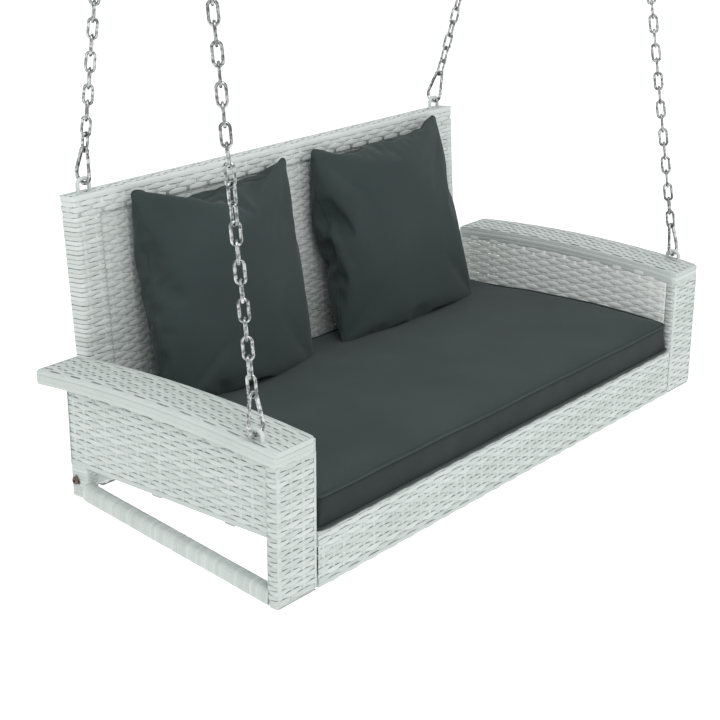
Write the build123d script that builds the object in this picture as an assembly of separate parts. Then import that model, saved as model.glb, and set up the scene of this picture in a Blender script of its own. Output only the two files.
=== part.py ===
"""Two-seat hanging porch swing: a steel tube frame wrapped and panelled in flat woven resin cane, a seat
cushion and two pillows, hung by four chains from two ceiling hooks.

Millimetres, +Z up, +X to the sitter's left, +Y to the back. The pieces are drawn about the middle of the
front apron's bottom edge, and moved at the end so that the origin is at the ceiling, midway between the
two hooks' shanks.
"""

from build123d import *
import math
import os

os.makedirs("parts", exist_ok=True)

# Overall size of the seat
overall_width = 1280
arm_width = 95
arm_depth = 535
slab = 25
arm_front_top = 254
arm_crown_top = 271
arm_crown_y = 300
arm_back_top = 261
front_corner = 8

# Woven cane skins and steel tubes
skin = 2.5
sheet = 3
arm_tube = 19
seat_tube = 22
wall = 1.2
front_wall = 1.8
tube_clear_x = 1
tube_clear = 0.5
tie_width = 20
tie_height = 14
low_tie_z = (26, 40)
post_tube_bottom = 3
post_foot_corner = 7
past = 1

# Side panels, lower rails and rear posts
panel_recess = 10
panel_bottom = 110
panel_sheet_x = overall_width / 2 - panel_recess
rail_width = 26
rail_height = 29
rail_rise_deg = 7.3
rail_front_z = 15
rail_corner = 8
rail_stock = 600
rail_fit = 0.2
rear_post_y = (428, 468)
rear_post_bottom = 51
rear_bolt_z = 82

# Seat
apron_height = 93
apron_recess = 1
deck_thickness = 4
deck_back = 509
seat_tube_top = apron_height - deck_thickness
seat_tube_bottom = seat_tube_top - seat_tube
back_tube_y = (444, 466)
cross_bar_x = (-270, 0, 270)
strut_y = (165, 330)
strut_width = 20
strut_gap = 1
inner_panel_gap = 0.5
seat_gap = 0.25
apron_tube_y = (3.75, 22.25)
apron_top_tube_z = (71.5, 90)
apron_bottom_tube_z = (3, 21.5)
apron_strut_x = (-360, 0, 360)
apron_strut_width = 18
apron_corner = 4
plug_length = 18

# Backrest, drawn upright and leant back about its lower front edge
back_lean_deg = 3.6
back_thickness = 40
back_height = 510
back_half_width = 525.8
back_front_y = 512
back_bottom_z = 18
back_band = 60
back_top_band = 36
back_tube = 20
back_weave_recess = 6
back_sheet = 1.3
back_wall = 0.8
back_seat_tube_z = 57
back_seat_tube_height = 16
back_strut_x = (-180, 180)
weave_gap = 0.2
bracket_x = (-430, -140, 140, 430)
bracket_width = 30
bracket_reach = 25
bracket_lift = (11, 19)
bracket_gap = 0.3

# Cushions
cushion_thickness = 54
cushion_gap = 0.3
cushion_side_gap = 4
cushion_cover = 8
cushion_front_y = 2
cushion_back_gap = 1
cushion_corner = 14
pillow_cover = 4
pillow_width = 400
pillow_left_x = -250
pillow_right_x = 234
pillow_top_z = 527
pillow_gap = 0.4
pillow_lean_gap = 3
pillow_foot_gap = 46
pillow_foot_depth = 62
pillow_top_depth = 22
pillow_depth = 114
pillow_belly_drop = 45
slider_length = 5
slider_y = (423, 431)
slider_lift = (8, 12)
tab_x = (1, 2.2)
tab_y = (421, 425)
tab_lift = 0.5
zip_gap = 0.3

# Chains and hardware
wire = 2.5
link_inner_width = 9
link_gap = 0.25
link_pitch = 28
front_links = 50
back_links = 41
hook_bar = 3.5
hook_length = 63
hook_wide = 15.5
hook_narrow = 7.5
gate_bar = 3
gate_gap = 0.5
pin_radius = 1.2
gate_start = 4.2
nose_stub = 1.5
lug_thickness = 2.4
lug_radius = 2.5
neck_width = 5
fork_slot = 3
pin_play = 0.05
pin_sunk = 0.2
ring_bar = 3
ring_gap = 0.4
ring_link_gap = 1.5
ring_radius = 24
eye_bar = 3.5
eye_span = 25
eye_corner = 9
leg_clearance = 0.2
arm_eye_x = 624
arm_eye_y = 52
arm_eye_height = 20
arm_eye_depth = 8
back_eye_x = 486
back_eye_height = 26
ring_x = 562
ceiling_hook_bar = 4
ceiling_hook_radius = 14
shank_bend_radius = 8
shank_bottom = 40
hook_tip = 5
ceiling_drop = 74
stud_length = 45
collar_radius = 11
collar_height = 3

# Fasteners
bolt_radius = 3
bolt_head = 5.5
bolt_head_height = 4
nut_height = 5
rear_bolt_radius = 4
rear_head_radius = 7
rear_socket = 2.9
rear_washer_radius = 9
washer_thickness = 1.5
bolt_length = 42
bolt_clearance = 0.2

side_signs = (-1, 1)
corners = (
    ("front_left", -1, True),
    ("front_right", 1, True),
    ("back_left", -1, False),
    ("back_right", 1, False),
)

# Turn of each chain's links about the chain, beyond a quarter turn a link: (link, degrees) along it
link_turns = {
    "front_left": ((0, 12), (1, 28), (2, 39), (7, 39), (12, 129), (front_links - 1, 180)),
    "front_right": ((0, 10), (2, 30), (24, 30), (front_links - 1, 0)),
    "back_left": ((0, 12), (1, 28), (2, 39), (20, 39), (back_links - 1, 0)),
    "back_right": ((0, -10), (2, -28), (18, -28), (back_links - 1, 0)),
}


def block(x, y, z):
    """Box between the pairs x, y and z."""
    size = [high - low for low, high in (sorted(x), sorted(y), sorted(z))]
    middle = [sum(pair) / 2 for pair in (x, y, z)]
    return Pos(*middle) * Box(*size)


def tube(x, y, z, axis, thickness=wall):
    """Rectangular tube between the pairs x, y and z, open at both ends of its axis."""
    spans = [sorted(pair) for pair in (x, y, z)]
    inner = [(low + thickness, high - thickness) for low, high in spans]
    run = "xyz".index(axis)
    inner[run] = (spans[run][0] - 1, spans[run][1] + 1)
    return block(*spans) - block(*inner)


def pair_x(side, near, far):
    """The x range of a piece from near to far of the middle, on one side."""
    return sorted((side * near, side * far))


def rod_x(start, end, y, z, radius):
    """Round bar along X."""
    return Pos((start + end) / 2, y, z) * Rot(0, 90, 0) * Cylinder(radius, abs(end - start))


def swept_bar(path, radius):
    """Round bar along a path."""
    return sweep(Plane(origin=path @ 0, z_dir=path % 0) * Circle(radius), path=path)


def union(pieces):
    """One shape from overlapping pieces."""
    whole = pieces[0]
    for piece in pieces[1:]:
        whole = whole + piece
    return whole


# The arm's arch is a circle through its front, crown and back
def circle_through(first, second, third):
    (ay, az), (by, bz), (cy, cz) = first, second, third
    d = 2 * (ay * (bz - cz) + by * (cz - az) + cy * (az - bz))
    y = ((ay**2 + az**2) * (bz - cz) + (by**2 + bz**2) * (cz - az) + (cy**2 + cz**2) * (az - bz)) / d
    z = ((ay**2 + az**2) * (cy - by) + (by**2 + bz**2) * (ay - cy) + (cy**2 + cz**2) * (by - ay)) / d
    return y, z, math.hypot(ay - y, az - z)


arch_y, arch_z, arch_radius = circle_through(
    (0, arm_front_top), (arm_crown_y, arm_crown_top), (arm_depth, arm_back_top)
)


def arch(y, drop=0):
    """Height of the arm's arched top at y, or of the curve that lies drop below it."""
    return arch_z + math.sqrt((arch_radius - drop) ** 2 - (y - arch_y) ** 2)


def arch_curve(start, end, drop):
    """Points of the arched curve from start to end: its two ends and its middle."""
    return [(y, arch(y, drop)) for y in (start, (start + end) / 2, end)]


def arch_band(start, end, top_drop, bottom_drop, x):
    """Arched bar of the arm between two depths below its top, extruded over the pair x."""
    low_x, high_x = sorted(x)
    top = arch_curve(start, end, top_drop)
    bottom = arch_curve(end, start, bottom_drop)
    with BuildSketch(Plane.YZ.offset(low_x)) as profile:
        with BuildLine():
            ThreePointArc(*top)
            Line(top[2], bottom[0])
            ThreePointArc(*bottom)
            Line(bottom[2], top[0])
        make_face()
    return extrude(profile.sketch, high_x - low_x)


def arch_sheet(start, end, bottom_z, x):
    """Upright sheet under the arm, from bottom_z to the arm's underside."""
    low_x, high_x = sorted(x)
    top = arch_curve(start, end, slab)
    with BuildSketch(Plane.YZ.offset(low_x)) as profile:
        with BuildLine():
            ThreePointArc(*top)
            Polyline(top[2], (end, bottom_z), (start, bottom_z), top[0])
        make_face()
    return extrude(profile.sketch, high_x - low_x)


# Arms and front posts ---------------------------------------------------------------------------
arm_outer = overall_width / 2
arm_inner = arm_outer - arm_width
inset_x = skin + tube_clear_x
tube_outer_x = (arm_outer - inset_x - arm_tube, arm_outer - inset_x)
tube_inner_x = (arm_inner + inset_x, arm_inner + inset_x + arm_tube)
tube_drop = skin + tube_clear
tube_y = (tube_drop, tube_drop + arm_tube)
tube_back_y = arm_depth - tube_drop
tie_y = (arm_eye_y, 205, 365, 515)


def arm_tubes(side):
    """Two arched tubes of one arm, from the front corner to its back end."""
    start, end = tube_y[0], tube_back_y
    for near, far in (tube_inner_x, tube_outer_x):
        outer = arch_band(start, end, tube_drop, tube_drop + arm_tube, pair_x(side, near, far))
        hollow_x = pair_x(side, near + wall, far - wall)
        hollow = arch_band(start - past, end + past, tube_drop + wall, tube_drop + arm_tube - wall, hollow_x)
        yield outer - hollow


def post_tubes(side):
    """Two upright tubes of one front post, which meet the arm's tubes."""
    under_arm = arch_band(-5, arm_depth, -5, tube_drop + arm_tube, pair_x(side, arm_inner, arm_outer))
    for near, far in (tube_inner_x, tube_outer_x):
        x = pair_x(side, near, far)
        post = tube(x, tube_y, (post_tube_bottom, arm_front_top), "z", front_wall) - under_arm
        if near == tube_inner_x[0]:
            ends = (side * (near - past), side * (far + past))
            for z in front_bolt_z:
                post -= rod_x(*ends, front_bolt_y, z, bolt_radius + bolt_clearance)
        yield post


def arm_ties(side):
    """Cross ties between the two tubes of one arm, and one low in the post."""
    x = pair_x(side, tube_inner_x[1], tube_outer_x[0])
    for y in tie_y:
        z = arch(y, tube_drop + arm_tube / 2)
        yield block(x, (y - tie_width / 2, y + tie_width / 2), (z - tie_height / 2, z + tie_height / 2))
    yield block(x, tube_y, low_tie_z)


def arm_cap_wrap(side):
    """Woven skin of one arm's arched slab, closed all round and open where the post joins it."""
    x = pair_x(side, arm_inner, arm_outer)
    outer = arch_band(0, arm_depth, 0, slab, x)
    front_top = outer.edges().filter_by(Axis.X).sort_by(lambda edge: edge.center().Y - edge.center().Z)[0]
    outer = fillet(front_top, front_corner)
    inner_x = pair_x(side, arm_inner + skin, arm_outer - skin)
    inner = arch_band(skin, arm_depth - skin, skin, slab - skin, inner_x)
    front_inner = inner.edges().filter_by(Axis.X).sort_by(lambda edge: edge.center().Y - edge.center().Z)[0]
    inner = fillet(front_inner, 1)
    mouth = block(inner_x, (skin, slab - skin), (arm_front_top - slab - 8, arm_front_top - slab + 8))
    wrap = outer - inner - mouth
    return wrap - eye_legs(side) - union(list(solid_arm_tubes(side)))


def solid_arm_tubes(side):
    for near, far in (tube_inner_x, tube_outer_x):
        x = pair_x(side, near, far)
        yield arch_band(tube_y[0], tube_back_y, tube_drop, tube_drop + arm_tube, x)


def eye_legs(side):
    """Clearance holes for the arm eye's two legs."""
    hole = Pos(side * arm_eye_x, arm_eye_y, arm_front_top + 5) * Cylinder(eye_bar + leg_clearance, 2 * slab)
    holes = [Pos(0, sign * eye_span / 2, 0) * hole for sign in side_signs]
    below_tube = arch_band(0, arm_depth, tube_drop, slab * 2, pair_x(side, arm_inner, arm_outer))
    return union(holes) - below_tube


def post_wrap(side):
    """Woven skin of one front post, open at its top and bottom."""
    x = pair_x(side, arm_inner, arm_outer)
    outer = block(x, (0, slab), (0, arm_front_top))
    outer = fillet(outer.edges().filter_by(Axis.X).sort_by(Axis.Z)[:2], post_foot_corner)
    inner_x = pair_x(side, arm_inner + skin, arm_outer - skin)
    inner = block(inner_x, (skin, slab - skin), (-past, arm_front_top + past))
    under_arm = arch_band(-5, arm_depth, -5, slab, x)
    ends = (side * (arm_inner - past), side * (arm_inner + skin + past))
    bolts = [rod_x(*ends, front_bolt_y, z, bolt_radius + bolt_clearance) for z in front_bolt_z]
    return outer - inner - under_arm - union(bolts)


# Side frame below the arms ----------------------------------------------------------------------
def tilted_rail(side, width, height, length_y):
    """Lower rail of one side, rising to the back, cut upright at both ends."""
    centre_x = side * (overall_width / 2 - rail_width / 2)
    bar = Box(width, rail_stock, height)
    if width == rail_width:
        bar = fillet(bar.edges().filter_by(Axis.Y), rail_corner)
    rise = math.tan(math.radians(rail_rise_deg))
    middle_y = sum(rear_post_y) / 4
    bar = Pos(centre_x, middle_y, rail_front_z + (middle_y - slab) * rise) * Rot(rail_rise_deg, 0, 0) * bar
    return bar & block(pair_x(side, arm_inner, arm_outer + past), length_y, (-arm_depth, arm_depth))


def lower_rail_wrap(side):
    ends = (slab, rear_post_y[0])
    return tilted_rail(side, rail_width, rail_height, ends) - tilted_rail(
        side, rail_width - 2 * sheet, rail_height - 2 * sheet, (ends[0] - past, ends[1] + past)
    )


def lower_rail_tube(side):
    ends = (slab, rear_post_y[0])
    outer_cut = 2 * sheet + rail_fit
    inner_cut = 2 * (sheet + wall)
    outer = tilted_rail(side, rail_width - outer_cut, rail_height - outer_cut, ends)
    past_ends = (ends[0] - past, ends[1] + past)
    inner = tilted_rail(side, rail_width - inner_cut, rail_height - inner_cut, past_ends)
    return outer - inner


rear_post_x = (panel_sheet_x - rail_width, panel_sheet_x)
rear_tube_x = (rear_post_x[0] + sheet, rear_post_x[1] - sheet)
rear_bolt_y = sum(back_tube_y) / 2


def rear_post_tube(side):
    """Upright tube of one side's rear post, from the lower rail to the arm."""
    y = (rear_post_y[0] + sheet, rear_post_y[1] - sheet)
    under_arm = arch_band(0, arm_depth, -5, slab, pair_x(side, arm_inner, arm_outer))
    post = tube(pair_x(side, *rear_tube_x), y, (rear_post_bottom + 2, arm_crown_top), "z") - under_arm
    return post - rear_bolt_hole(side)


def rear_post_wrap(side):
    """Woven skin of the short stretch of rear post below the side panel."""
    y = rear_post_y
    wrap = tube(pair_x(side, *rear_post_x), y, (rear_post_bottom, panel_bottom), "z", sheet)
    return wrap - rear_bolt_hole(side)


def rear_bolt_hole(side):
    ends = (side * (rear_post_x[0] - past), side * (rear_post_x[1] + past))
    return rod_x(*ends, rear_bolt_y, rear_bolt_z, rear_bolt_radius + bolt_clearance)


def outer_panel(side):
    """Woven sheet outside the arm, set back under the slab's edge."""
    x = pair_x(side, panel_sheet_x - sheet, panel_sheet_x)
    return arch_sheet(slab, rear_post_y[1], panel_bottom, x)


def panel_bottom_tube(side):
    """Tube that carries the side panel's lower edge."""
    x = pair_x(side, rear_tube_x[0], rear_tube_x[1])
    return tube(x, (slab, rear_post_y[0] + sheet), (panel_bottom + 1, panel_bottom + 17), "y")


inner_panel_x = (arm_inner + inner_panel_gap, arm_inner + inner_panel_gap + sheet)
strut_x = (inner_panel_x[1] + strut_gap, inner_panel_x[1] + strut_gap + strut_width)


def inner_panel(side):
    """Woven sheet inside the arm, from the seat frame up to the slab."""
    x = pair_x(side, *inner_panel_x)
    panel = arch_sheet(slab, arm_depth - 8, seat_tube_bottom, x)
    round_tube = (back_tube_y[0] - 0.5, back_tube_y[1] + 0.5)
    panel -= block(x, round_tube, (seat_tube_bottom - 1, seat_tube_top + 0.5))
    for y in strut_y:
        panel -= rod_x(x[0] - 1, x[1] + 1, y, arm_bolt_z, bolt_radius + bolt_clearance)
    return panel


def arm_struts(side):
    """Uprights between the seat frame and the arm's inner tube."""
    for y in strut_y:
        x = pair_x(side, *strut_x)
        under_arm = arch_band(0, arm_depth, -5, slab, pair_x(side, arm_inner, arm_outer))
        strut_span = (y - strut_width / 2, y + strut_width / 2)
        strut = tube(x, strut_span, (seat_tube_bottom, arm_crown_top), "z") - under_arm
        yield strut - rod_x(x[0] - 1, x[1] + 1, y, arm_bolt_z, bolt_radius + bolt_clearance)


# Seat frame, apron and deck ---------------------------------------------------------------------
seat_half = arm_inner - seat_gap
front_bolt_y = sum(apron_tube_y) / 2
front_bolt_z = (sum(apron_top_tube_z) / 2, sum(apron_bottom_tube_z) / 2)
arm_bolt_z = (seat_tube_bottom + seat_tube_top) / 2
side_tube_x = (seat_half - seat_tube, seat_half)


def seat_front_tubes():
    for z in (apron_top_tube_z, apron_bottom_tube_z):
        yield tube((-seat_half, seat_half), apron_tube_y, z, "x", front_wall)


def apron_struts():
    half = apron_strut_width / 2
    for x in apron_strut_x:
        yield tube((x - half, x + half), apron_tube_y, (apron_bottom_tube_z[1], apron_top_tube_z[0]), "z")


def bars_along_y():
    """Outer boxes of the seat bars that run from the front tube to the rear tube."""
    y = (apron_tube_y[1], back_tube_y[0])
    z = (seat_tube_bottom, seat_tube_top)
    side_bars = [(pair_x(side, *side_tube_x), y, z) for side in side_signs]
    cross_bars = [((x - seat_tube / 2, x + seat_tube / 2), y, z) for x in cross_bar_x]
    return side_bars, cross_bars


def seat_side_tubes():
    for bar in bars_along_y()[0]:
        piece = tube(*bar, "y")
        for y in strut_y:
            piece -= rod_x(bar[0][0] - 1, bar[0][1] + 1, y, arm_bolt_z, bolt_radius + bolt_clearance)
        yield piece


def seat_cross_bars():
    for bar in bars_along_y()[1]:
        yield tube(*bar, "y")


def front_apron_wrap():
    """Woven skin round the two front tubes, notched where the seat bars pass through it."""
    y = (apron_recess, slab)
    outer = block((-seat_half, seat_half), y, (0, apron_height))
    outer = fillet(outer.edges().filter_by(Axis.X), apron_corner)
    inner = block((-seat_half - 1, seat_half + 1), (y[0] + skin, y[1] - skin), (skin, apron_height - skin))
    wrap = outer - inner
    for bars in bars_along_y():
        for x, _, z in bars:
            wrap -= block(x, (slab - skin - 1, slab + 1), z)
    return wrap


def seat_back_tube():
    end = rear_post_x[0]
    return tube((-end, end), back_tube_y, (seat_tube_bottom, seat_tube_top), "x")


def seat_deck():
    """Woven sheet that the cushion lies on."""
    return block((-seat_half, seat_half), (slab, deck_back), (seat_tube_top, apron_height))


def tube_plugs():
    """Threaded plugs in the ends of the front tubes and the rear tube."""
    for side in side_signs:
        for tube_z, bolt_z in zip((apron_top_tube_z, apron_bottom_tube_z), front_bolt_z):
            y = (apron_tube_y[0] + front_wall, apron_tube_y[1] - front_wall)
            z = (tube_z[0] + front_wall, tube_z[1] - front_wall)
            plug = block(pair_x(side, seat_half - plug_length, seat_half), y, z)
            ends = (side * (seat_half - plug_length - past), side * (seat_half + past))
            yield plug - rod_x(*ends, front_bolt_y, bolt_z, bolt_radius)
        y = (back_tube_y[0] + wall, back_tube_y[1] - wall)
        z = (seat_tube_bottom + wall, seat_tube_top - wall)
        end = rear_post_x[0]
        plug = block(pair_x(side, end - plug_length, end), y, z)
        ends = (side * (end - plug_length - past), side * (end + past))
        yield plug - rod_x(*ends, rear_bolt_y, rear_bolt_z, rear_bolt_radius)


# Fasteners --------------------------------------------------------------------------------------
def hexagon(start, y, z, radius, height):
    """Hexagonal prism along +X."""
    return extrude(Plane.YZ.offset(start) * Pos(y, z) * RegularPolygon(radius, 6), height)


def frame_bolts():
    """Identical hexagon bolts: four through the arm struts, four through the front posts."""
    places = [(strut_x[1], y, arm_bolt_z) for y in strut_y]
    places += [(tube_inner_x[1], front_bolt_y, z) for z in front_bolt_z]
    for side in side_signs:
        for under_head, y, z in places:
            bolt = rod_x(under_head - bolt_length, under_head, y, z, bolt_radius)
            piece = bolt + hexagon(under_head, y, z, bolt_head, bolt_head_height)
            yield piece if side > 0 else mirror(piece, Plane.YZ)


def arm_nuts():
    for side in side_signs:
        for y in strut_y:
            start = side_tube_x[0] - nut_height
            nut = hexagon(start, y, arm_bolt_z, bolt_head, nut_height)
            nut -= rod_x(start - 1, start + nut_height + 1, y, arm_bolt_z, bolt_radius)
            yield nut if side > 0 else mirror(nut, Plane.YZ)


def rear_bolts():
    """Button-head bolts through the rear posts."""
    for side in side_signs:
        under_head = rear_post_x[1] + washer_thickness
        bolt = rod_x(under_head - bolt_length, under_head, rear_bolt_y, rear_bolt_z, rear_bolt_radius)
        head = rod_x(under_head, under_head + bolt_head_height, rear_bolt_y, rear_bolt_z, rear_head_radius)
        head = fillet(head.edges().sort_by(Axis.X)[-1], bolt_head_height - 0.5)
        socket = hexagon(under_head + 1, rear_bolt_y, rear_bolt_z, rear_socket, bolt_head_height)
        piece = bolt + head - socket
        yield piece if side > 0 else mirror(piece, Plane.YZ)


def rear_washers():
    for side in side_signs:
        ends = [side * (rear_post_x[1] + edge) for edge in (0, washer_thickness)]
        washer = rod_x(*ends, rear_bolt_y, rear_bolt_z, rear_washer_radius)
        hole_radius = rear_bolt_radius + bolt_clearance
        yield washer - rod_x(ends[0] - side, ends[1] + side, rear_bolt_y, rear_bolt_z, hole_radius)


# Backrest ---------------------------------------------------------------------------------------
lean = Pos(0, back_front_y, back_bottom_z) * Rot(-back_lean_deg, 0, 0)
back_side_x = (back_half_width - skin - back_tube, back_half_width - skin)
back_tube_yz = ((back_thickness - back_tube) / 2, (back_thickness + back_tube) / 2)
front_weave_y = (back_weave_recess, back_weave_recess + back_sheet)
rear_weave_y = (back_thickness - back_weave_recess - back_sheet, back_thickness - back_weave_recess)
between_weaves = (front_weave_y[1] + weave_gap, rear_weave_y[0] - weave_gap)
seat_cross_z = (back_seat_tube_z, back_seat_tube_z + back_seat_tube_height)


def back_side_tubes():
    for side in side_signs:
        z = (skin, back_height - skin)
        yield lean * tube(pair_x(side, *back_side_x), back_tube_yz, z, "z", back_wall)


def back_cross_tubes():
    x = (-back_side_x[0], back_side_x[0])
    top = back_height - skin
    for z in ((skin, skin + back_tube), (top - back_tube, top)):
        yield lean * tube(x, back_tube_yz, z, "x", back_wall)
    yield lean * tube(x, between_weaves, seat_cross_z, "x", back_wall)


def back_struts():
    z = (seat_cross_z[1], back_height - skin - back_tube)
    for x in back_strut_x:
        yield lean * tube((x - back_tube / 2, x + back_tube / 2), between_weaves, z, "z", back_wall)


def backrest_side_wraps():
    """Woven skins round the backrest's two side tubes."""
    z = (back_band, back_height - back_top_band)
    for side in side_signs:
        x = pair_x(side, back_half_width - back_band, back_half_width)
        wrap = tube(x, (0, back_thickness), z, "z", skin)
        x_cut = pair_x(side, back_half_width - back_band - 1, back_half_width - back_band + skin + 1)
        wrap -= block(x_cut, between_weaves, seat_cross_z)
        yield lean * wrap


def backrest_end_wrap(z, open_z):
    """Woven channel over the backrest's top or bottom tube, open towards the other one."""
    x = (-back_half_width, back_half_width)
    outer = block(x, (0, back_thickness), z)
    inner = block((x[0] + skin, x[1] - skin), (skin, back_thickness - skin), open_z)
    return outer - inner


def backrest_top_wrap():
    z = (back_height - back_top_band, back_height)
    wrap = backrest_end_wrap(z, (z[0] - 1, z[1] - skin))
    for side in side_signs:
        for sign in side_signs:
            x = side * back_eye_x + sign * eye_span / 2
            wrap -= Pos(x, back_thickness / 2, z[1]) * Cylinder(eye_bar + leg_clearance, slab)
    return lean * wrap


def backrest_bottom_wrap():
    z = (0, back_band)
    return lean * backrest_end_wrap(z, (skin, z[1] + 1))


def backrest_weave(y):
    """Woven sheet between the backrest's wrapped edges, slotted for the brackets."""
    x = back_half_width - back_band
    weave = lean * block((-x, x), y, (back_band, back_height - back_top_band))
    half = bracket_width / 2 + bracket_gap
    slot_y = (back_tube_y[1], back_front_y + back_thickness / 2)
    slot_z = (bracket_z[0] - bracket_gap, bracket_z[1] + bracket_gap)
    for middle in bracket_x:
        weave -= block((middle - half, middle + half), slot_y, slot_z)
    return weave


bracket_z = tuple(seat_tube_bottom + lift for lift in bracket_lift)


def back_brackets():
    """Steel plates that join the seat's rear tube to the backrest's lower cross tube."""
    y = (between_weaves[0], 2 * back_thickness)
    inside = block((-back_half_width, back_half_width), y, (0, back_height))
    for x in bracket_x:
        span = (x - bracket_width / 2, x + bracket_width / 2)
        plate = block(span, (back_tube_y[1], back_front_y + bracket_reach), bracket_z)
        yield plate - lean * inside


# Hanging eyes -----------------------------------------------------------------------------------
def eye_loop(height, depth):
    """U-shaped bar in the XZ plane: its top is height above z = 0 and its legs reach depth below it."""
    half = eye_span / 2
    top = height - eye_bar
    corner_points = ((-half, 0, -depth), (-half, 0, top), (half, 0, top), (half, 0, -depth))
    path = FilletPolyline(*corner_points, radius=eye_corner)
    return swept_bar(path, eye_bar)


def arm_eyes():
    for side in side_signs:
        place = Pos(side * arm_eye_x, arm_eye_y, arch(arm_eye_y)) * Rot(0, 0, 90)
        loop = place * eye_loop(arm_eye_height, arm_eye_depth)
        yield loop - arch_band(0, arm_depth, tube_drop, slab, pair_x(side, arm_inner, arm_outer))


def back_eyes():
    for side in side_signs:
        place = lean * Pos(side * back_eye_x, back_thickness / 2, back_height)
        yield place * eye_loop(back_eye_height, skin)


def eye_point(side, front):
    """Middle of an eye's top bar."""
    if front:
        return Vector(side * arm_eye_x, arm_eye_y, arch(arm_eye_y) + arm_eye_height - eye_bar)
    place = lean * Pos(side * back_eye_x, back_thickness / 2, back_height + back_eye_height - eye_bar)
    return place.position


# Chains -----------------------------------------------------------------------------------------
hook_start = -(eye_bar + hook_bar + link_gap)
first_wire = hook_start + hook_length - (hook_bar + wire + link_gap)
link_inner = link_pitch + link_gap
link_span = link_inner + 2 * wire


def chain_length(links):
    """From the middle of an eye's top bar to the centre of the top ring."""
    last_wire = first_wire + link_span + (links - 1) * link_pitch
    return last_wire - (wire + ring_bar + ring_link_gap) + ring_radius


def ring_centre():
    """Where the front and back chains of one side, of their whole numbers of links, meet."""
    front, back = eye_point(1, True), eye_point(1, False)
    front_reach = math.sqrt(chain_length(front_links) ** 2 - (ring_x - front.X) ** 2)
    back_reach = math.sqrt(chain_length(back_links) ** 2 - (ring_x - back.X) ** 2)
    span = math.hypot(back.Y - front.Y, back.Z - front.Z)
    along = (front_reach**2 - back_reach**2 + span**2) / (2 * span)
    off = math.sqrt(front_reach**2 - along**2)
    unit_y, unit_z = (back.Y - front.Y) / span, (back.Z - front.Z) / span
    return front.Y + along * unit_y - off * unit_z, front.Z + along * unit_z + off * unit_y


ring_y, ring_z = ring_centre()
swing_axis_z = ring_z + ring_radius - ring_bar - ceiling_hook_bar - ring_gap
ceiling_z = swing_axis_z + ceiling_drop


def chain_frame(side, front, distance, turn_deg=0.0):
    """Plane at a distance along one chain, with Z up the chain and X in the snap hook's plane."""
    start = eye_point(side, front)
    direction = (Vector(side * ring_x, ring_y, ring_z) - start).normalized()
    flat = Vector(1, 0, 0) if front else Vector(0, 1, 0)
    across = (flat - direction * flat.dot(direction)).normalized()
    across = across.rotate(Axis((0, 0, 0), direction), turn_deg)
    return Plane(origin=start + direction * distance, x_dir=across, z_dir=direction)


def chain_link():
    """Oval link with its long axis along Z and its width along X."""
    bend = link_inner_width / 2 + wire
    straight = link_span / 2 - bend
    path = Polyline((bend, 0, -straight), (bend, 0, straight))
    half = swept_bar(path, wire)
    cap = Pos(0, 0, straight) * Rot(90, 0, 0) * Torus(bend, wire, major_angle=180, align=None)
    legs = half + mirror(half, Plane.YZ)
    return legs + cap + mirror(cap, Plane.XY)


def turn_at(index, turns):
    """Turn of one link, in straight steps between the (link, degrees) pairs."""
    for (start, low), (end, high) in zip(turns, turns[1:]):
        if index <= end:
            return low + (high - low) * (index - start) / (end - start)


def chain(side, front, turns):
    """Links at a quarter turn to each other, besides the chain's own twist."""
    links = front_links if front else back_links
    link = chain_link()
    for index in range(links):
        turn = 90 * (index + 1) + turn_at(index, turns)
        frame = chain_frame(side, front, first_wire + link_span / 2 + index * link_pitch, turn)
        yield frame.location * link


# Snap hooks -------------------------------------------------------------------------------------
taper = math.asin((hook_wide - hook_narrow) / (hook_length - hook_wide - hook_narrow))
wide_centre = hook_wide
narrow_centre = hook_length - hook_narrow


def on_hook(centre_z, radius, side):
    """Point where the hook's straight leaves the circle about centre_z, on one side."""
    return Vector(side * radius * math.cos(taper), 0, centre_z + radius * math.sin(taper))


gate_top = on_hook(narrow_centre, hook_narrow, -1)
gate_direction = (on_hook(wide_centre, hook_wide, -1) - gate_top).normalized()
gate_pin = gate_top + gate_direction * gate_start
gate_tip = on_hook(wide_centre, hook_wide, -1) - gate_direction * (nose_stub + gate_gap)


def snap_hook_body():
    """Pear-shaped bar, open on its gate side, with a lug for the gate's pin."""
    nose = on_hook(wide_centre, hook_wide, -1) - gate_direction * nose_stub
    low_left, low_right = on_hook(wide_centre, hook_wide, -1), on_hook(wide_centre, hook_wide, 1)
    top_left, top_right = on_hook(narrow_centre, hook_narrow, -1), on_hook(narrow_centre, hook_narrow, 1)
    path = Wire(
        [
            Edge.make_line(nose, low_left),
            Edge.make_three_point_arc(low_left, Vector(0, 0, 0), low_right),
            Edge.make_line(low_right, top_right),
            Edge.make_three_point_arc(top_right, Vector(0, 0, hook_length), top_left),
        ]
    )
    bar = swept_bar(path, hook_bar)
    neck_plane = Plane(origin=top_left, x_dir=(0, 1, 0), z_dir=gate_direction)
    neck = Pos(0, 0, gate_start / 2 - past) * Box(lug_thickness, neck_width, gate_start + 2 * past)
    neck = neck_plane.location * neck
    lug = Pos(gate_pin) * Rot(90, 0, 0) * Cylinder(lug_radius, lug_thickness)
    hole = Pos(gate_pin) * Rot(90, 0, 0) * Cylinder(pin_radius, hook_wide)
    return bar + neck + lug - hole


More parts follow.
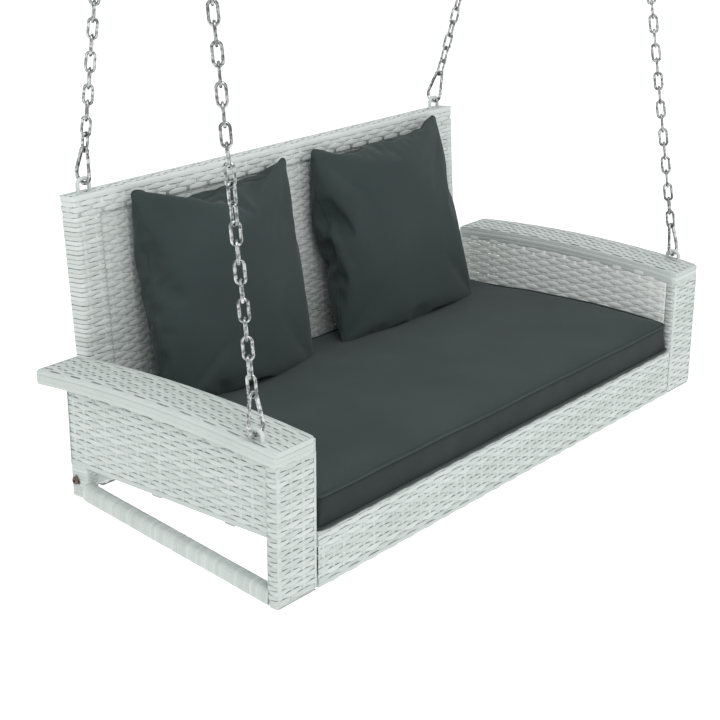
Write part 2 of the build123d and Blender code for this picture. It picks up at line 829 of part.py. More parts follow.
def snap_gate_body():
    """Round gate bar with a forked end round the hook's lug."""
    length = (gate_tip - gate_pin).length
    plane = Plane(origin=gate_pin, x_dir=(0, 1, 0), z_dir=gate_direction)
    bar = plane.location * Pos(0, 0, length / 2) * Cylinder(gate_bar, length)
    eye = Pos(gate_pin) * Rot(90, 0, 0) * Cylinder(gate_bar, 2 * gate_bar)
    slot = plane.location * Box(fork_slot, 4 * gate_bar, 2 * gate_start)
    hole = Pos(gate_pin) * Rot(90, 0, 0) * Cylinder(pin_radius + pin_play, hook_wide)
    round_end = eye & (plane.location * Cylinder(gate_bar, hook_length))
    return bar + round_end - slot - hole


def snap_pin_body():
    return Pos(gate_pin) * Rot(90, 0, 0) * Cylinder(pin_radius, 2 * (gate_bar - pin_sunk))


def in_hook(side, front, body):
    return chain_frame(side, front, hook_start).location * body


# Top rings and ceiling hooks --------------------------------------------------------------------
def top_rings():
    for side in side_signs:
        yield Pos(side * ring_x, ring_y, ring_z) * Rot(0, 90, 0) * Torus(ring_radius, ring_bar)


def ceiling_hook(side):
    """Screw hook: a shank with a collar under the ceiling, bent into a saddle for the top ring."""
    radius = ceiling_hook_radius
    # The bend out of the shank that brings the saddle's middle back under it
    first_bend = math.degrees(math.acos(shank_bend_radius / (shank_bend_radius + radius)))
    with BuildLine(Plane.XZ) as outline:
        shank = Line((0, ceiling_drop + stud_length), (0, shank_bottom))
        bend = JernArc(shank @ 1, shank % 1, shank_bend_radius, first_bend)
        saddle = JernArc(bend @ 1, bend % 1, radius, -(180 + first_bend))
        Line(saddle @ 1, saddle @ 1 + (saddle % 1) * hook_tip)
    path = outline.line
    lowest = path.bounding_box().min.Z
    path = Pos(0, 0, -lowest) * path
    rod = swept_bar(path, ceiling_hook_bar)
    top = rod.bounding_box().max.Z
    around = (-ceiling_drop, ceiling_drop)
    rod -= block(around, around, (ceiling_drop + stud_length, top + past))
    return rod + Pos(0, 0, ceiling_drop - collar_height / 2) * Cylinder(collar_radius, collar_height)


# Cushions ---------------------------------------------------------------------------------------
cushion_bottom = apron_height + cushion_gap
cushion_top = cushion_bottom + cushion_thickness


def seat_cushion():
    half = arm_inner - cushion_side_gap
    y = (cushion_front_y, deck_back - cushion_back_gap)
    body = block((-half, half), y, (cushion_bottom, cushion_top))
    body = fillet(body.edges().filter_by(Axis.Z), cushion_corner)
    inside = half - cushion_cover
    soft_y = (y[0] + cushion_cover, y[1] - cushion_cover)
    soft_z = (cushion_bottom + cushion_cover, cushion_top - cushion_cover)
    return body - block((-inside, inside), soft_y, soft_z)


def back_face_y(z):
    """Front of the backrest's wrapped edge at a height."""
    return back_front_y + (z - back_bottom_z) * math.tan(math.radians(back_lean_deg))


pillow_bottom = cushion_top + pillow_gap


def pillow(centre_x):
    """Pillow standing on the cushion and leaning on the backrest, thin at its top and bottom edges."""
    rear_foot = (back_face_y(pillow_bottom) - pillow_foot_gap, pillow_bottom)
    rear_middle_z = (pillow_bottom + pillow_top_z) / 2
    rear_middle = (back_face_y(rear_middle_z) - pillow_lean_gap, rear_middle_z)
    rear_top = (back_face_y(pillow_top_z) - pillow_lean_gap, pillow_top_z)
    front_top = (rear_top[0] - pillow_top_depth, pillow_top_z)
    front_middle = (rear_middle[0] - pillow_depth, rear_middle_z - pillow_belly_drop)
    front_foot = (rear_foot[0] - pillow_foot_depth, pillow_bottom)
    with BuildSketch() as profile:
        with BuildLine():
            Polyline(front_foot, rear_foot, rear_middle, rear_top, front_top)
            ThreePointArc(front_top, front_middle, front_foot)
        make_face()
    inside = offset(profile.sketch, -pillow_cover)
    start = Plane.YZ.offset(centre_x - pillow_width / 2)
    body = extrude(start * profile.sketch, pillow_width)
    soft = Plane.YZ.offset(centre_x - pillow_width / 2 + pillow_cover) * inside
    return body - extrude(soft, pillow_width - 2 * pillow_cover)


def zip_pull(centre_x, side):
    """Zip slider and its tab at the pillow's lower corner on one side."""
    x = centre_x + side * (pillow_width / 2 + zip_gap) + min(side, 0) * slider_length
    slider_z = [pillow_bottom + lift for lift in slider_lift]
    slider = block((x, x + slider_length), slider_y, slider_z)
    tab = block([x + edge for edge in tab_x], tab_y, (pillow_bottom + tab_lift, slider_z[0]))
    return slider + tab


# Writing the parts ------------------------------------------------------------------------------
def both_sides(make):
    """Pieces of make for the left and the right."""
    pieces = []
    for side in side_signs:
        got = make(side)
        pieces += [got] if isinstance(got, (Solid, Compound)) else list(got)
    return pieces


nodes = {
    "top_rings": list(top_rings()),
    "arm_eyes": list(arm_eyes()),
    "back_eyes": list(back_eyes()),
    "arm_tubes": both_sides(arm_tubes),
    "post_tubes": both_sides(post_tubes),
    "arm_ties": both_sides(arm_ties),
    "post_wraps": both_sides(post_wrap),
    "lower_rail_tubes": both_sides(lower_rail_tube),
    "lower_rail_wraps": both_sides(lower_rail_wrap),
    "rear_post_tubes": both_sides(rear_post_tube),
    "rear_post_wraps": both_sides(rear_post_wrap),
    "panel_bottom_tubes": both_sides(panel_bottom_tube),
    "arm_struts": both_sides(arm_struts),
    "seat_front_tubes": list(seat_front_tubes()),
    "apron_struts": list(apron_struts()),
    "seat_back_tube": [seat_back_tube()],
    "seat_side_tubes": list(seat_side_tubes()),
    "seat_cross_bars": list(seat_cross_bars()),
    "front_apron_wrap": [front_apron_wrap()],
    "seat_deck": [seat_deck()],
    "tube_plugs": list(tube_plugs()),
    "frame_bolts": list(frame_bolts()),
    "arm_nuts": list(arm_nuts()),
    "rear_bolts": list(rear_bolts()),
    "rear_washers": list(rear_washers()),
    "back_side_tubes": list(back_side_tubes()),
    "back_cross_tubes": list(back_cross_tubes()),
    "back_struts": list(back_struts()),
    "backrest_side_wraps": list(backrest_side_wraps()),
    "backrest_top_wrap": [backrest_top_wrap()],
    "backrest_bottom_wrap": [backrest_bottom_wrap()],
    "backrest_front_weave": [backrest_weave(front_weave_y)],
    "backrest_rear_weave": [backrest_weave(rear_weave_y)],
    "back_brackets": list(back_brackets()),
    "seat_cushion": [seat_cushion()],
}
for name, side in (("left", -1), ("right", 1)):
    nodes[f"arm_cap_wrap_{name}"] = [arm_cap_wrap(side)]
    nodes[f"outer_panel_{name}"] = [outer_panel(side)]
    nodes[f"inner_panel_{name}"] = [inner_panel(side)]
    centre_x = pillow_left_x if side < 0 else pillow_right_x
    nodes[f"pillow_{name}"] = [pillow(centre_x)]
    nodes[f"pillow_zip_pull_{name}"] = [zip_pull(centre_x, side)]
    hook = ceiling_hook(side)
    nodes[f"ceiling_hook_{name}"] = [Pos(side * ring_x, ring_y, swing_axis_z) * hook]
pins = []
for name, side, front in corners:
    nodes[f"chain_{name}"] = list(chain(side, front, link_turns[name]))
    nodes[f"snap_hook_{name}"] = [in_hook(side, front, snap_hook_body())]
    nodes[f"snap_gate_{name}"] = [in_hook(side, front, snap_gate_body())]
    pins.append(in_hook(side, front, snap_pin_body()))
nodes["snap_hook_pins"] = pins

to_ceiling = Pos(0, -ring_y, -ceiling_z)
for name, pieces in nodes.items():
    solids = [solid for piece in pieces for solid in (to_ceiling * piece).solids()]
    export_step(Compound(children=solids) if len(solids) > 1 else solids[0], f"parts/{name}.step")
print("ring at y", round(ring_y, 2), "z", round(ring_z, 2), "ceiling at z", round(ceiling_z, 2))
print(len(nodes), "nodes")
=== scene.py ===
"""Porch swing seat: woven cane strands, soft cushions, materials, light and camera.

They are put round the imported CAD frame. Metres. Positions are written in the seat's own frame (x from the
middle, y back from the front posts' faces, z up from the posts' feet) and moved by SEAT, which is read from
the CAD apron's box.
"""

import math

import bpy
import numpy as np
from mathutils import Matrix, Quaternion, Vector, noise


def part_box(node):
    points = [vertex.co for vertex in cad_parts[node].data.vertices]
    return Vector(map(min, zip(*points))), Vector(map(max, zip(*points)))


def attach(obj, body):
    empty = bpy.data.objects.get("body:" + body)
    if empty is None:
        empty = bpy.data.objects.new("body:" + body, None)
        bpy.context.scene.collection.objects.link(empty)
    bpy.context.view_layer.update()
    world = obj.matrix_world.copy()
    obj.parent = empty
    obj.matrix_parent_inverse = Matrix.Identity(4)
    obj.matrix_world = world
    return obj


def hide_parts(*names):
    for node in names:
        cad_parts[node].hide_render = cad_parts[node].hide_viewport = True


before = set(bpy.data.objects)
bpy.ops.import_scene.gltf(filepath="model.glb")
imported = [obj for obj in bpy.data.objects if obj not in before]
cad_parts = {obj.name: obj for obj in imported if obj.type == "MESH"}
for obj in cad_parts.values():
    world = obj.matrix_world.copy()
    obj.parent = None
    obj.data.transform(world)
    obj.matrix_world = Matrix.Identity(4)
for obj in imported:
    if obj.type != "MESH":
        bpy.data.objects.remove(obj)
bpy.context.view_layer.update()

apron_low, apron_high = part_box("front_apron_wrap")
APRON_RECESS = 0.001
SEAT = Vector(((apron_low.x + apron_high.x) / 2, apron_low.y - APRON_RECESS, apron_low.z))

# Sizes that the CAD has too
HALF_WIDTH = 0.64
ARM_WIDTH = 0.095
ARM_INNER = HALF_WIDTH - ARM_WIDTH
ARM_DEPTH = 0.535
SLAB = 0.025
ARCH_POINTS = ((0.0, 0.254), (0.3, 0.271), (ARM_DEPTH, 0.261))
PANEL_RECESS = 0.010
PANEL_BOTTOM = 0.110
REAR_POST_BOTTOM = 0.051
REAR_POST_Y = (0.428, 0.468)
APRON_HEIGHT = 0.093
DECK_BACK = 0.509
CUSHION_TOP = 0.1473
BACK_FRONT_Y = 0.512
BACK_BOTTOM_Z = 0.018
BACK_HALF = 0.5258
BACK_HEIGHT = 0.510
BACK_THICK = 0.040
BACK_LEAN = math.radians(3.6)
BACK_BAND = 0.060
BACK_TOP_BAND = 0.036
BACK_RECESS = 0.006
RAIL_RISE = math.radians(7.3)
RAIL_WIDTH = 0.026
RAIL_HEIGHT = 0.029
RAIL_FRONT_Z = 0.015

# Cane strands: rows of wefts, which swing in and out round the warps
ROW = 0.008
WARP = 0.025
BAND_WARP = 0.028
STRAND_WIDTH = 0.0080
BAND_WIDTH = 0.0081
EDGE_WIDTH = 0.0084
CLOSE_WIDTH = 0.0086
STRAND_THICK = 0.0011
SWING = 0.0008
INNER_SWING = 0.0006
BACK_SWING = 0.0007
BASE = SWING + STRAND_THICK / 2
WARP_WIDTH = 0.0075
WARP_THICK = 0.0009
WARP_STEP = 0.02
STEPS_PER_WARP = 6

# How a weft bends, narrows between its warps and strays from its row
SHORTEST = 0.3
SHARPNESS = 2.6
STRAIGHT_DEPTH = 0.8
CORNER_DEPTH = 0.35
FULL_WIDTH = 1.03
WIDTH_SPREAD = 0.02
SLIT = 0.17
WAVE = 0.00022
WAVE_ALONG, WAVE_ACROSS = 31, 900
STRAY = 0.00018

LEFT_RIGHT = (("left", -1), ("right", 1))
X, Y, Z = (1, 0, 0), (0, 1, 0), (0, 0, 1)
rng = np.random.default_rng(7)


# Strands ----------------------------------------------------------------------------------------
# A strand's section: half widths across it, and thicknesses out of its face
STRAND_PROFILE = ((-1.0, -0.5), (-1.0, 0.15), (-0.75, 0.46), (0.75, 0.46), (1.0, 0.15), (1.0, -0.5))
CORNER_STEPS = 12
CLIP_SAMPLES = 60


class Strands:
    """Gathers flat strands and makes one mesh of them."""

    def __init__(self):
        self.points, self.quads, self.ends, self.tones, self.count = [], [], [], [], 0

    def add(self, centre, across, out, width, thick, closed=False):
        """One strand along the centre points, with unit vectors across it and out of its face."""
        rows, sides = len(centre), len(STRAND_PROFILE)
        half = np.broadcast_to(np.asarray(width, float) / 2, (rows,))[:, None]
        ring = [centre + across * half * px + out * thick * py for px, py in STRAND_PROFILE]
        block = np.stack(ring, axis=1).reshape(-1, 3)
        index = np.arange(rows * sides).reshape(rows, sides) + self.count
        following = np.roll(index, -1, axis=0)
        if not closed:
            index, following = index[:-1], following[:-1]
        beside, beside_next = np.roll(index, -1, axis=1), np.roll(following, -1, axis=1)
        self.quads.append(np.stack([index, beside, beside_next, following], axis=-1).reshape(-1, 4))
        if not closed:
            first = np.arange(sides) + self.count
            self.ends += [first[::-1].tolist(), (first + (rows - 1) * sides).tolist()]
        self.points.append(block)
        self.tones.append(np.full(len(block), rng.uniform(0.0, 1.0)))
        self.count += len(block)

    def build(self, name, node_names, body, material):
        """One piece of all the strands so far, in place of CAD nodes."""
        points = np.concatenate(self.points)
        quads = np.concatenate(self.quads)
        mesh = bpy.data.meshes.new(name)
        mesh.from_pydata((points + np.array(SEAT)).tolist(), [], quads.tolist() + self.ends)
        tone = mesh.attributes.new("tone", "FLOAT", "POINT")
        tone.data.foreach_set("value", np.concatenate(self.tones).astype(np.float32))
        mesh.polygons.foreach_set("use_smooth", np.ones(len(mesh.polygons), bool))
        mesh.update()
        piece = place(name, mesh, body, material)
        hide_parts(*node_names)


def place(name, mesh, body, material):
    """An object of a mesh, riding on a CAD body."""
    piece = bpy.data.objects.new(name, mesh)
    bpy.context.scene.collection.objects.link(piece)
    mesh.materials.append(material)
    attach(piece, body)
    return piece


# Surfaces that strands lie on: each takes arrays u and v, and gives points, directions along u, and normals
class Flat:
    """Plane through an origin, with u and v along two directions."""

    def __init__(self, origin, along, up, out):
        self.origin, self.along, self.up, self.out = (np.array(v, float) for v in (origin, along, up, out))

    def at(self, u, v):
        points = self.origin + np.outer(u, self.along) + np.outer(v, self.up)
        return points, np.tile(self.along, (len(u), 1)), np.tile(self.out, (len(u), 1))


class Loop:
    """Rounded rectangle about a plane's origin, by distance round it from the middle of its first side."""

    def __init__(self, width, height, radius):
        w, h, r = width / 2, height / 2, radius
        points, normals = [], []
        corners = ((w - r, -h + r, -90), (w - r, h - r, 0), (-w + r, h - r, 90), (-w + r, -h + r, 180))
        points.append((0.0, -h))
        normals.append((0.0, -1.0))
        for x, y, start in corners:
            for step in range(CORNER_STEPS + 1):
                angle = math.radians(start + step * 90 / CORNER_STEPS)
                normals.append((math.cos(angle), math.sin(angle)))
                points.append((x + r * normals[-1][0], y + r * normals[-1][1]))
        points.append((0.0, -h))
        normals.append((0.0, -1.0))
        self.points, self.normals = np.array(points), np.array(normals)
        self.run = np.r_[0.0, np.cumsum(np.linalg.norm(np.diff(self.points, axis=0), axis=1))]
        self.length = self.run[-1]

    def at(self, s):
        s = np.mod(s, self.length)
        point = np.stack([np.interp(s, self.run, self.points[:, k]) for k in (0, 1)], axis=1)
        normal = np.stack([np.interp(s, self.run, self.normals[:, k]) for k in (0, 1)], axis=1)
        return point, normal / np.linalg.norm(normal, axis=1)[:, None]


class Rings:
    """Surface round a loop: u runs round it in the plane of axes a and b, and v along axis c."""

    def __init__(self, loop, origin, a, b, c):
        self.loop = loop
        self.origin, self.a, self.b, self.c = (np.array(v, float) for v in (origin, a, b, c))

    def at(self, u, v):
        point, normal = self.loop.at(np.asarray(u, float))
        points = self.origin + point[:, :1] * self.a + point[:, 1:] * self.b + np.outer(v, self.c)
        out = normal[:, :1] * self.a + normal[:, 1:] * self.b
        along = -normal[:, 1:] * self.a + normal[:, :1] * self.b
        return points, along, out


class Lengthwise:
    """Surface round a loop, with u along axis c and v round the loop."""

    def __init__(self, loop, origin, a, b, c):
        self.rings = Rings(loop, origin, a, b, c)

    def at(self, u, v):
        points, _, out = self.rings.at(v, u)
        return points, np.tile(self.rings.c, (len(points), 1)), out


def weave_depth(u, first, pitch, sign):
    """Depth of a weft that goes over one warp and under the next, from -1 to 1, and its slope."""
    angle = math.pi * (u - first) / pitch
    wave = np.tanh(SHARPNESS * np.cos(angle))
    value = wave / math.tanh(SHARPNESS)
    slope = -SHARPNESS * np.sin(angle) * (1 - wave**2) / math.tanh(SHARPNESS) * math.pi / pitch
    return sign * value, sign * slope


def weft(strands, surface, v, start, end, first, pitch, sign, width,
         swing=SWING, straight=False, closed=False, faces=None):
    """One strand across the warps at height v, left out where it is shorter than a part of the pitch.

    faces gives the place on a loop's face for each u, and how far the strand has calmed for a corner.
    """
    if end - start < pitch * SHORTEST:
        return
    steps = max(3, int(round((end - start) / pitch * STEPS_PER_WARP)))
    u = np.linspace(start, end, steps + 1)
    if closed:
        u = u[:-1]
    wander = WAVE * np.sin(u * WAVE_ALONG + v * WAVE_ACROSS + sign) + STRAY * rng.uniform(-1, 1)
    points, along, out = surface.at(u, np.full(len(u), v) + wander)
    if straight:
        depth, slope = np.full(len(u), STRAIGHT_DEPTH), np.zeros(len(u))
    else:
        phase, calm = faces(u) if faces else (u, 0.0)
        depth, slope = weave_depth(phase, first, pitch, sign)
        depth, slope = depth * (1 - calm) + CORNER_DEPTH * calm, slope * (1 - calm)
    turned = out - along * (slope * swing)[:, None]
    turned /= np.linalg.norm(turned, axis=1)[:, None]
    across = np.cross(out, along)
    pinch = 0.0 if straight else SLIT * (1 - depth**2)
    size = width * (FULL_WIDTH + WIDTH_SPREAD * rng.uniform(-1, 1) - pinch)
    strands.add(points + out * (depth * swing)[:, None], across, turned, size, STRAND_THICK, closed)


def warp(strands, surface, u, start, end):
    """One strand across the wefts at u."""
    steps = max(2, int((end - start) / WARP_STEP))
    v = np.linspace(start, end, steps + 1)
    points, along, out = surface.at(np.full(len(v), u), v)
    strands.add(points, -along, out, WARP_WIDTH, WARP_THICK)


def weave(strands, surface, u_span, v_span, width=STRAND_WIDTH, swing=SWING, closed=False, pitch=WARP,
          straight_rows=(), clip=None):
    """Plain weave over a surface.

    clip gives the u span of a row at height v. Straight rows stay over the warps.
    """
    rows = max(1, int(round((v_span[1] - v_span[0]) / ROW)))
    real_row = (v_span[1] - v_span[0]) / rows
    count = int(round((u_span[1] - u_span[0]) / pitch))
    if closed:
        count = 2 * max(1, round(count / 2))
    real_pitch = (u_span[1] - u_span[0]) / count
    first = u_span[0] + real_pitch / 2
    for index in range(rows):
        v = v_span[0] + (index + 0.5) * real_row
        start, end = clip(v) if clip else u_span
        straight = index in straight_rows or index - rows in straight_rows
        weft(strands, surface, v, start, end, first, real_pitch, (-1) ** index, width * real_row / ROW,
             swing, straight, closed)
    for index in range(count):
        u = first + index * real_pitch
        low, high = v_span
        if clip:
            inside = [v for v in np.linspace(*v_span, CLIP_SAMPLES) if clip(v)[0] <= u <= clip(v)[1]]
            if not inside:
                continue
            low, high = min(inside), max(inside)
        warp(strands, surface, u, low, high)


# The arm's arch ---------------------------------------------------------------------------------
def circle_through(first, second, third):
    """Centre and radius of the circle through three points of a plane."""
    (ay, az), (by, bz), (cy, cz) = first, second, third
    d = 2 * (ay * (bz - cz) + by * (cz - az) + cy * (az - bz))
    y = ((ay**2 + az**2) * (bz - cz) + (by**2 + bz**2) * (cz - az) + (cy**2 + cz**2) * (az - bz)) / d
    z = ((ay**2 + az**2) * (cy - by) + (by**2 + bz**2) * (ay - cy) + (cy**2 + cz**2) * (by - ay)) / d
    return y, z, math.hypot(ay - y, az - z)


ARCH_Y, ARCH_Z, ARCH_RADIUS = circle_through(*ARCH_POINTS)
ARM_FOLD = 0.010


def arch(y, drop=0.0):
    """Height of the arm's top at y, or of the curve drop below it."""
    return ARCH_Z + np.sqrt((ARCH_RADIUS - drop) ** 2 - (np.asarray(y, float) - ARCH_Y) ** 2)


class ArmFace:
    """The arm slab's top or bottom, rounded over at its edges: u along the arm, v across from its middle."""

    def __init__(self, middle_x, drop, facing, fold):
        self.middle, self.drop, self.facing, self.fold = middle_x, drop, facing, fold

    def at(self, u, v):
        u, v = np.asarray(u, float), np.asarray(v, float)
        sink = np.zeros(len(u))
        for distance in (u, ARM_DEPTH - u, ARM_WIDTH / 2 - np.abs(v)):
            short = np.clip(self.fold - distance, 0, self.fold)
            sink += self.fold - np.sqrt(np.maximum(self.fold**2 - short**2, 0))
        height = arch(u, self.drop) - self.facing * sink
        points = np.stack([self.middle + v, u, height], axis=1)
        lean = (u - ARCH_Y) / (ARCH_RADIUS - self.drop)
        normal = np.stack([np.zeros(len(u)), lean, np.sqrt(1 - lean**2)], axis=1)
        along = np.stack([np.zeros(len(u)), normal[:, 2], -normal[:, 1]], axis=1)
        return points, along, normal * self.facing


# Materials --------------------------------------------------------------------------------------
def material(name, color, roughness, metallic=0.0, specular=0.5):
    """A plain material, with its nodes, links and shader for more to be added."""
    made = bpy.data.materials.new(name)
    made.use_nodes = True
    nodes, links = made.node_tree.nodes, made.node_tree.links
    shader = nodes["Principled BSDF"]
    shader.inputs["Base Color"].default_value = (*color, 1)
    shader.inputs["Roughness"].default_value = roughness
    shader.inputs["Metallic"].default_value = metallic
    shader.inputs["Specular IOR Level"].default_value = specular
    return made, nodes, links, shader


def texture_noise(nodes, links, scale, stretch=(1, 1, 1), detail=2.0):
    """Noise over the object's own coordinates, stretched along an axis."""
    where = nodes.new("ShaderNodeTexCoord")
    mapping = nodes.new("ShaderNodeMapping")
    mapping.inputs["Scale"].default_value = stretch
    made = nodes.new("ShaderNodeTexNoise")
    made.inputs["Scale"].default_value = scale
    made.inputs["Detail"].default_value = detail
    links.new(where.outputs["Object"], mapping.inputs["Vector"])
    links.new(mapping.outputs["Vector"], made.inputs["Vector"])
    return made


def ramp(nodes, links, source, low, high, low_at=0.3, high_at=0.7):
    """Colour ramp between two colours, driven by a value."""
    made = nodes.new("ShaderNodeValToRGB")
    made.color_ramp.elements[0].position = low_at
    made.color_ramp.elements[1].position = high_at
    made.color_ramp.elements[0].color = (*low, 1)
    made.color_ramp.elements[1].color = (*high, 1)
    links.new(source, made.inputs["Fac"])
    return made


def bump(nodes, links, shader, height, strength, distance):
    """Small relief on a shader, from a height value."""
    made = nodes.new("ShaderNodeBump")
    made.inputs["Strength"].default_value = strength
    made.inputs["Distance"].default_value = distance
    links.new(height, made.inputs["Height"])
    links.new(made.outputs["Normal"], shader.inputs["Normal"])


def cane_material(name, grain, dark=(0.465, 0.515, 0.49), light=(0.575, 0.62, 0.60)):
    """Resin cane: fine ribs along the strand, and a slightly different tone for each strand."""
    made, nodes, links, shader = material(name, light, 0.42, specular=0.4)
    tone = nodes.new("ShaderNodeAttribute")
    tone.attribute_name = "tone"
    patches = texture_noise(nodes, links, 9.0)
    both = nodes.new("ShaderNodeMath")
    both.operation = "MULTIPLY_ADD"
    both.inputs[1].default_value = 0.5
    links.new(tone.outputs["Fac"], both.inputs[0])
    half = nodes.new("ShaderNodeMath")
    half.operation = "MULTIPLY"
    half.inputs[1].default_value = 0.5
    links.new(patches.outputs["Fac"], half.inputs[0])
    links.new(half.outputs["Value"], both.inputs[2])
    color = ramp(nodes, links, both.outputs["Value"], dark, light, 0.15, 0.75)
    links.new(color.outputs["Color"], shader.inputs["Base Color"])
    ribs = texture_noise(nodes, links, 900.0, grain, 1.0)
    bump(nodes, links, shader, ribs.outputs["Fac"], 0.35, 0.0003)
    return made


GRAIN_X, GRAIN_Y, GRAIN_Z = (0.03, 1, 1), (1, 0.03, 1), (1, 1, 0.03)
cane_x = cane_material("cane_along_x", GRAIN_X)
cane_y = cane_material("cane_along_y", GRAIN_Y)
cane_wrap = cane_material("cane_wrapped", GRAIN_Z)
# The backrest's copy is painted light: lighter than the other cane, to offset the shade that the pillows and
# seat cast on it.
cane_back_painted_light = cane_material("cane_backrest_painted_light", GRAIN_X, (0.53, 0.575, 0.55), (0.645, 0.69, 0.67))
# The copy inside the arms is painted light: much lighter, to offset the shade that falls between the arms,
# the backrest and the dark cushions.
cane_inner_painted_light = cane_material("cane_inside_arms_painted_light", GRAIN_Y, (0.66, 0.695, 0.675), (0.76, 0.79, 0.77))


def painted_steel(name, color):
    """Smooth paint, slightly mottled."""
    made, nodes, links, shader = material(name, color, 0.38, specular=0.5)
    patches = texture_noise(nodes, links, 40.0)
    shade = ramp(nodes, links, patches.outputs["Fac"], tuple(0.9 * c for c in color), color)
    links.new(shade.outputs["Color"], shader.inputs["Base Color"])
    grain = texture_noise(nodes, links, 700.0)
    bump(nodes, links, shader, grain.outputs["Fac"], 0.12, 0.0002)
    return made


white_steel = painted_steel("white_steel", (0.60, 0.65, 0.63))


def zinc_material():
    """Galvanised metal, with darker and glossier patches; the darker patches are partly mottled zinc and
    partly painted dark reflection.
    """
    made, nodes, links, shader = material("zinc", (0.62, 0.64, 0.63), 0.3, metallic=1.0)
    patches = texture_noise(nodes, links, 170.0, detail=3.0)
    # Patches down to dark grey: partly mottled zinc, partly painted dark reflection that gives the chain its
    # contrast.
    shade = ramp(nodes, links, patches.outputs["Fac"], (0.16, 0.17, 0.17), (0.60, 0.62, 0.61), 0.40, 0.62)
    links.new(shade.outputs["Color"], shader.inputs["Base Color"])
    gloss = nodes.new("ShaderNodeMapRange")
    gloss.inputs["To Min"].default_value = 0.14
    gloss.inputs["To Max"].default_value = 0.34
    links.new(patches.outputs["Fac"], gloss.inputs["Value"])
    links.new(gloss.outputs["Result"], shader.inputs["Roughness"])
    bump(nodes, links, shader, patches.outputs["Fac"], 0.12, 0.0003)
    return made


zinc = zinc_material()


def bronze_material():
    """Dark plated metal of the rear bolts."""
    made, nodes, links, shader = material("bronze_bolt", (0.14, 0.095, 0.07), 0.4, metallic=0.7)
    patches = texture_noise(nodes, links, 500.0, detail=3.0)
    shade = ramp(nodes, links, patches.outputs["Fac"], (0.07, 0.045, 0.035), (0.24, 0.17, 0.13))
    links.new(shade.outputs["Color"], shader.inputs["Base Color"])
    return made


bronze = bronze_material()


SLATE_DARK, SLATE_LIGHT = (0.030, 0.043, 0.042), (0.038, 0.053, 0.052)


def fabric_material(name, depth):
    """Woven polyester: a fine crossed thread, slightly mottled, with a faint sheen."""
    # depth scales both colours; the copy at 0.55 is painted shade.
    low, high = ([depth * part for part in color] for color in (SLATE_DARK, SLATE_LIGHT))
    made, nodes, links, shader = material(name, high, 0.8, specular=0.12)
    patches = texture_noise(nodes, links, 7.0, detail=3.0)
    shade = ramp(nodes, links, patches.outputs["Fac"], low, high)
    links.new(shade.outputs["Color"], shader.inputs["Base Color"])
    shader.inputs["Sheen Weight"].default_value = 0.1
    shader.inputs["Sheen Roughness"].default_value = 0.5
    threads = texture_noise(nodes, links, 1500.0, detail=1.0)
    bump(nodes, links, shader, threads.outputs["Fac"], 0.25, 0.0003)
    return made


fabric = fabric_material("slate_fabric", 1.0)
# Darker copy for the cushion's side faces: painted shade.
boxing_painted_shade_fabric = fabric_material("slate_fabric_boxing_painted_shade", 0.55)

METAL_OF = {
    "top_rings": zinc,
    "snap_hook_pins": zinc,
    "frame_bolts": zinc,
    "arm_nuts": zinc,
    "rear_washers": zinc,
    "tube_plugs": zinc,
    "rear_bolts": bronze,
}
for name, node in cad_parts.items():
    if name in METAL_OF:
        chosen = METAL_OF[name]
    elif name.startswith(("chain_", "snap_", "ceiling_hook", "pillow_zip")):
        chosen = zinc
    else:
        chosen = white_steel
    node.data.materials.clear()
    node.data.materials.append(chosen)


# Arms -------------------------------------------------------------------------------------------
ARM_MIDDLE = HALF_WIDTH - ARM_WIDTH / 2
ARM_UNDER_FOLD = 0.004
ARM_TOP_START, ARM_UNDER_START, ARM_WEAVE_END = 0.005, 0.022, ARM_DEPTH - 0.004
ARM_WEAVE_HALF = ARM_WIDTH / 2 - 0.003
ARM_EDGE_INSET = 0.001
ARM_EDGE_CORNER = 0.009
ARM_EDGE_POINTS = 220
ARM_EDGE_THICK = STRAND_THICK * 1.2
# Strands round an arm's edge: how far below its top, how far in, and how much they face upward
ARM_EDGE_STRANDS = ((0.0045, 0.0016, 0.25), (0.0125, 0.0, 0.0), (0.0205, 0.0002, 0.0))


def fold_inset(drop):
    """How far the rounded front edge lies behind its front face, drop below the top."""
    short = max(0.0, ARM_FOLD - drop)
    return ARM_FOLD - math.sqrt(ARM_FOLD**2 - short**2)


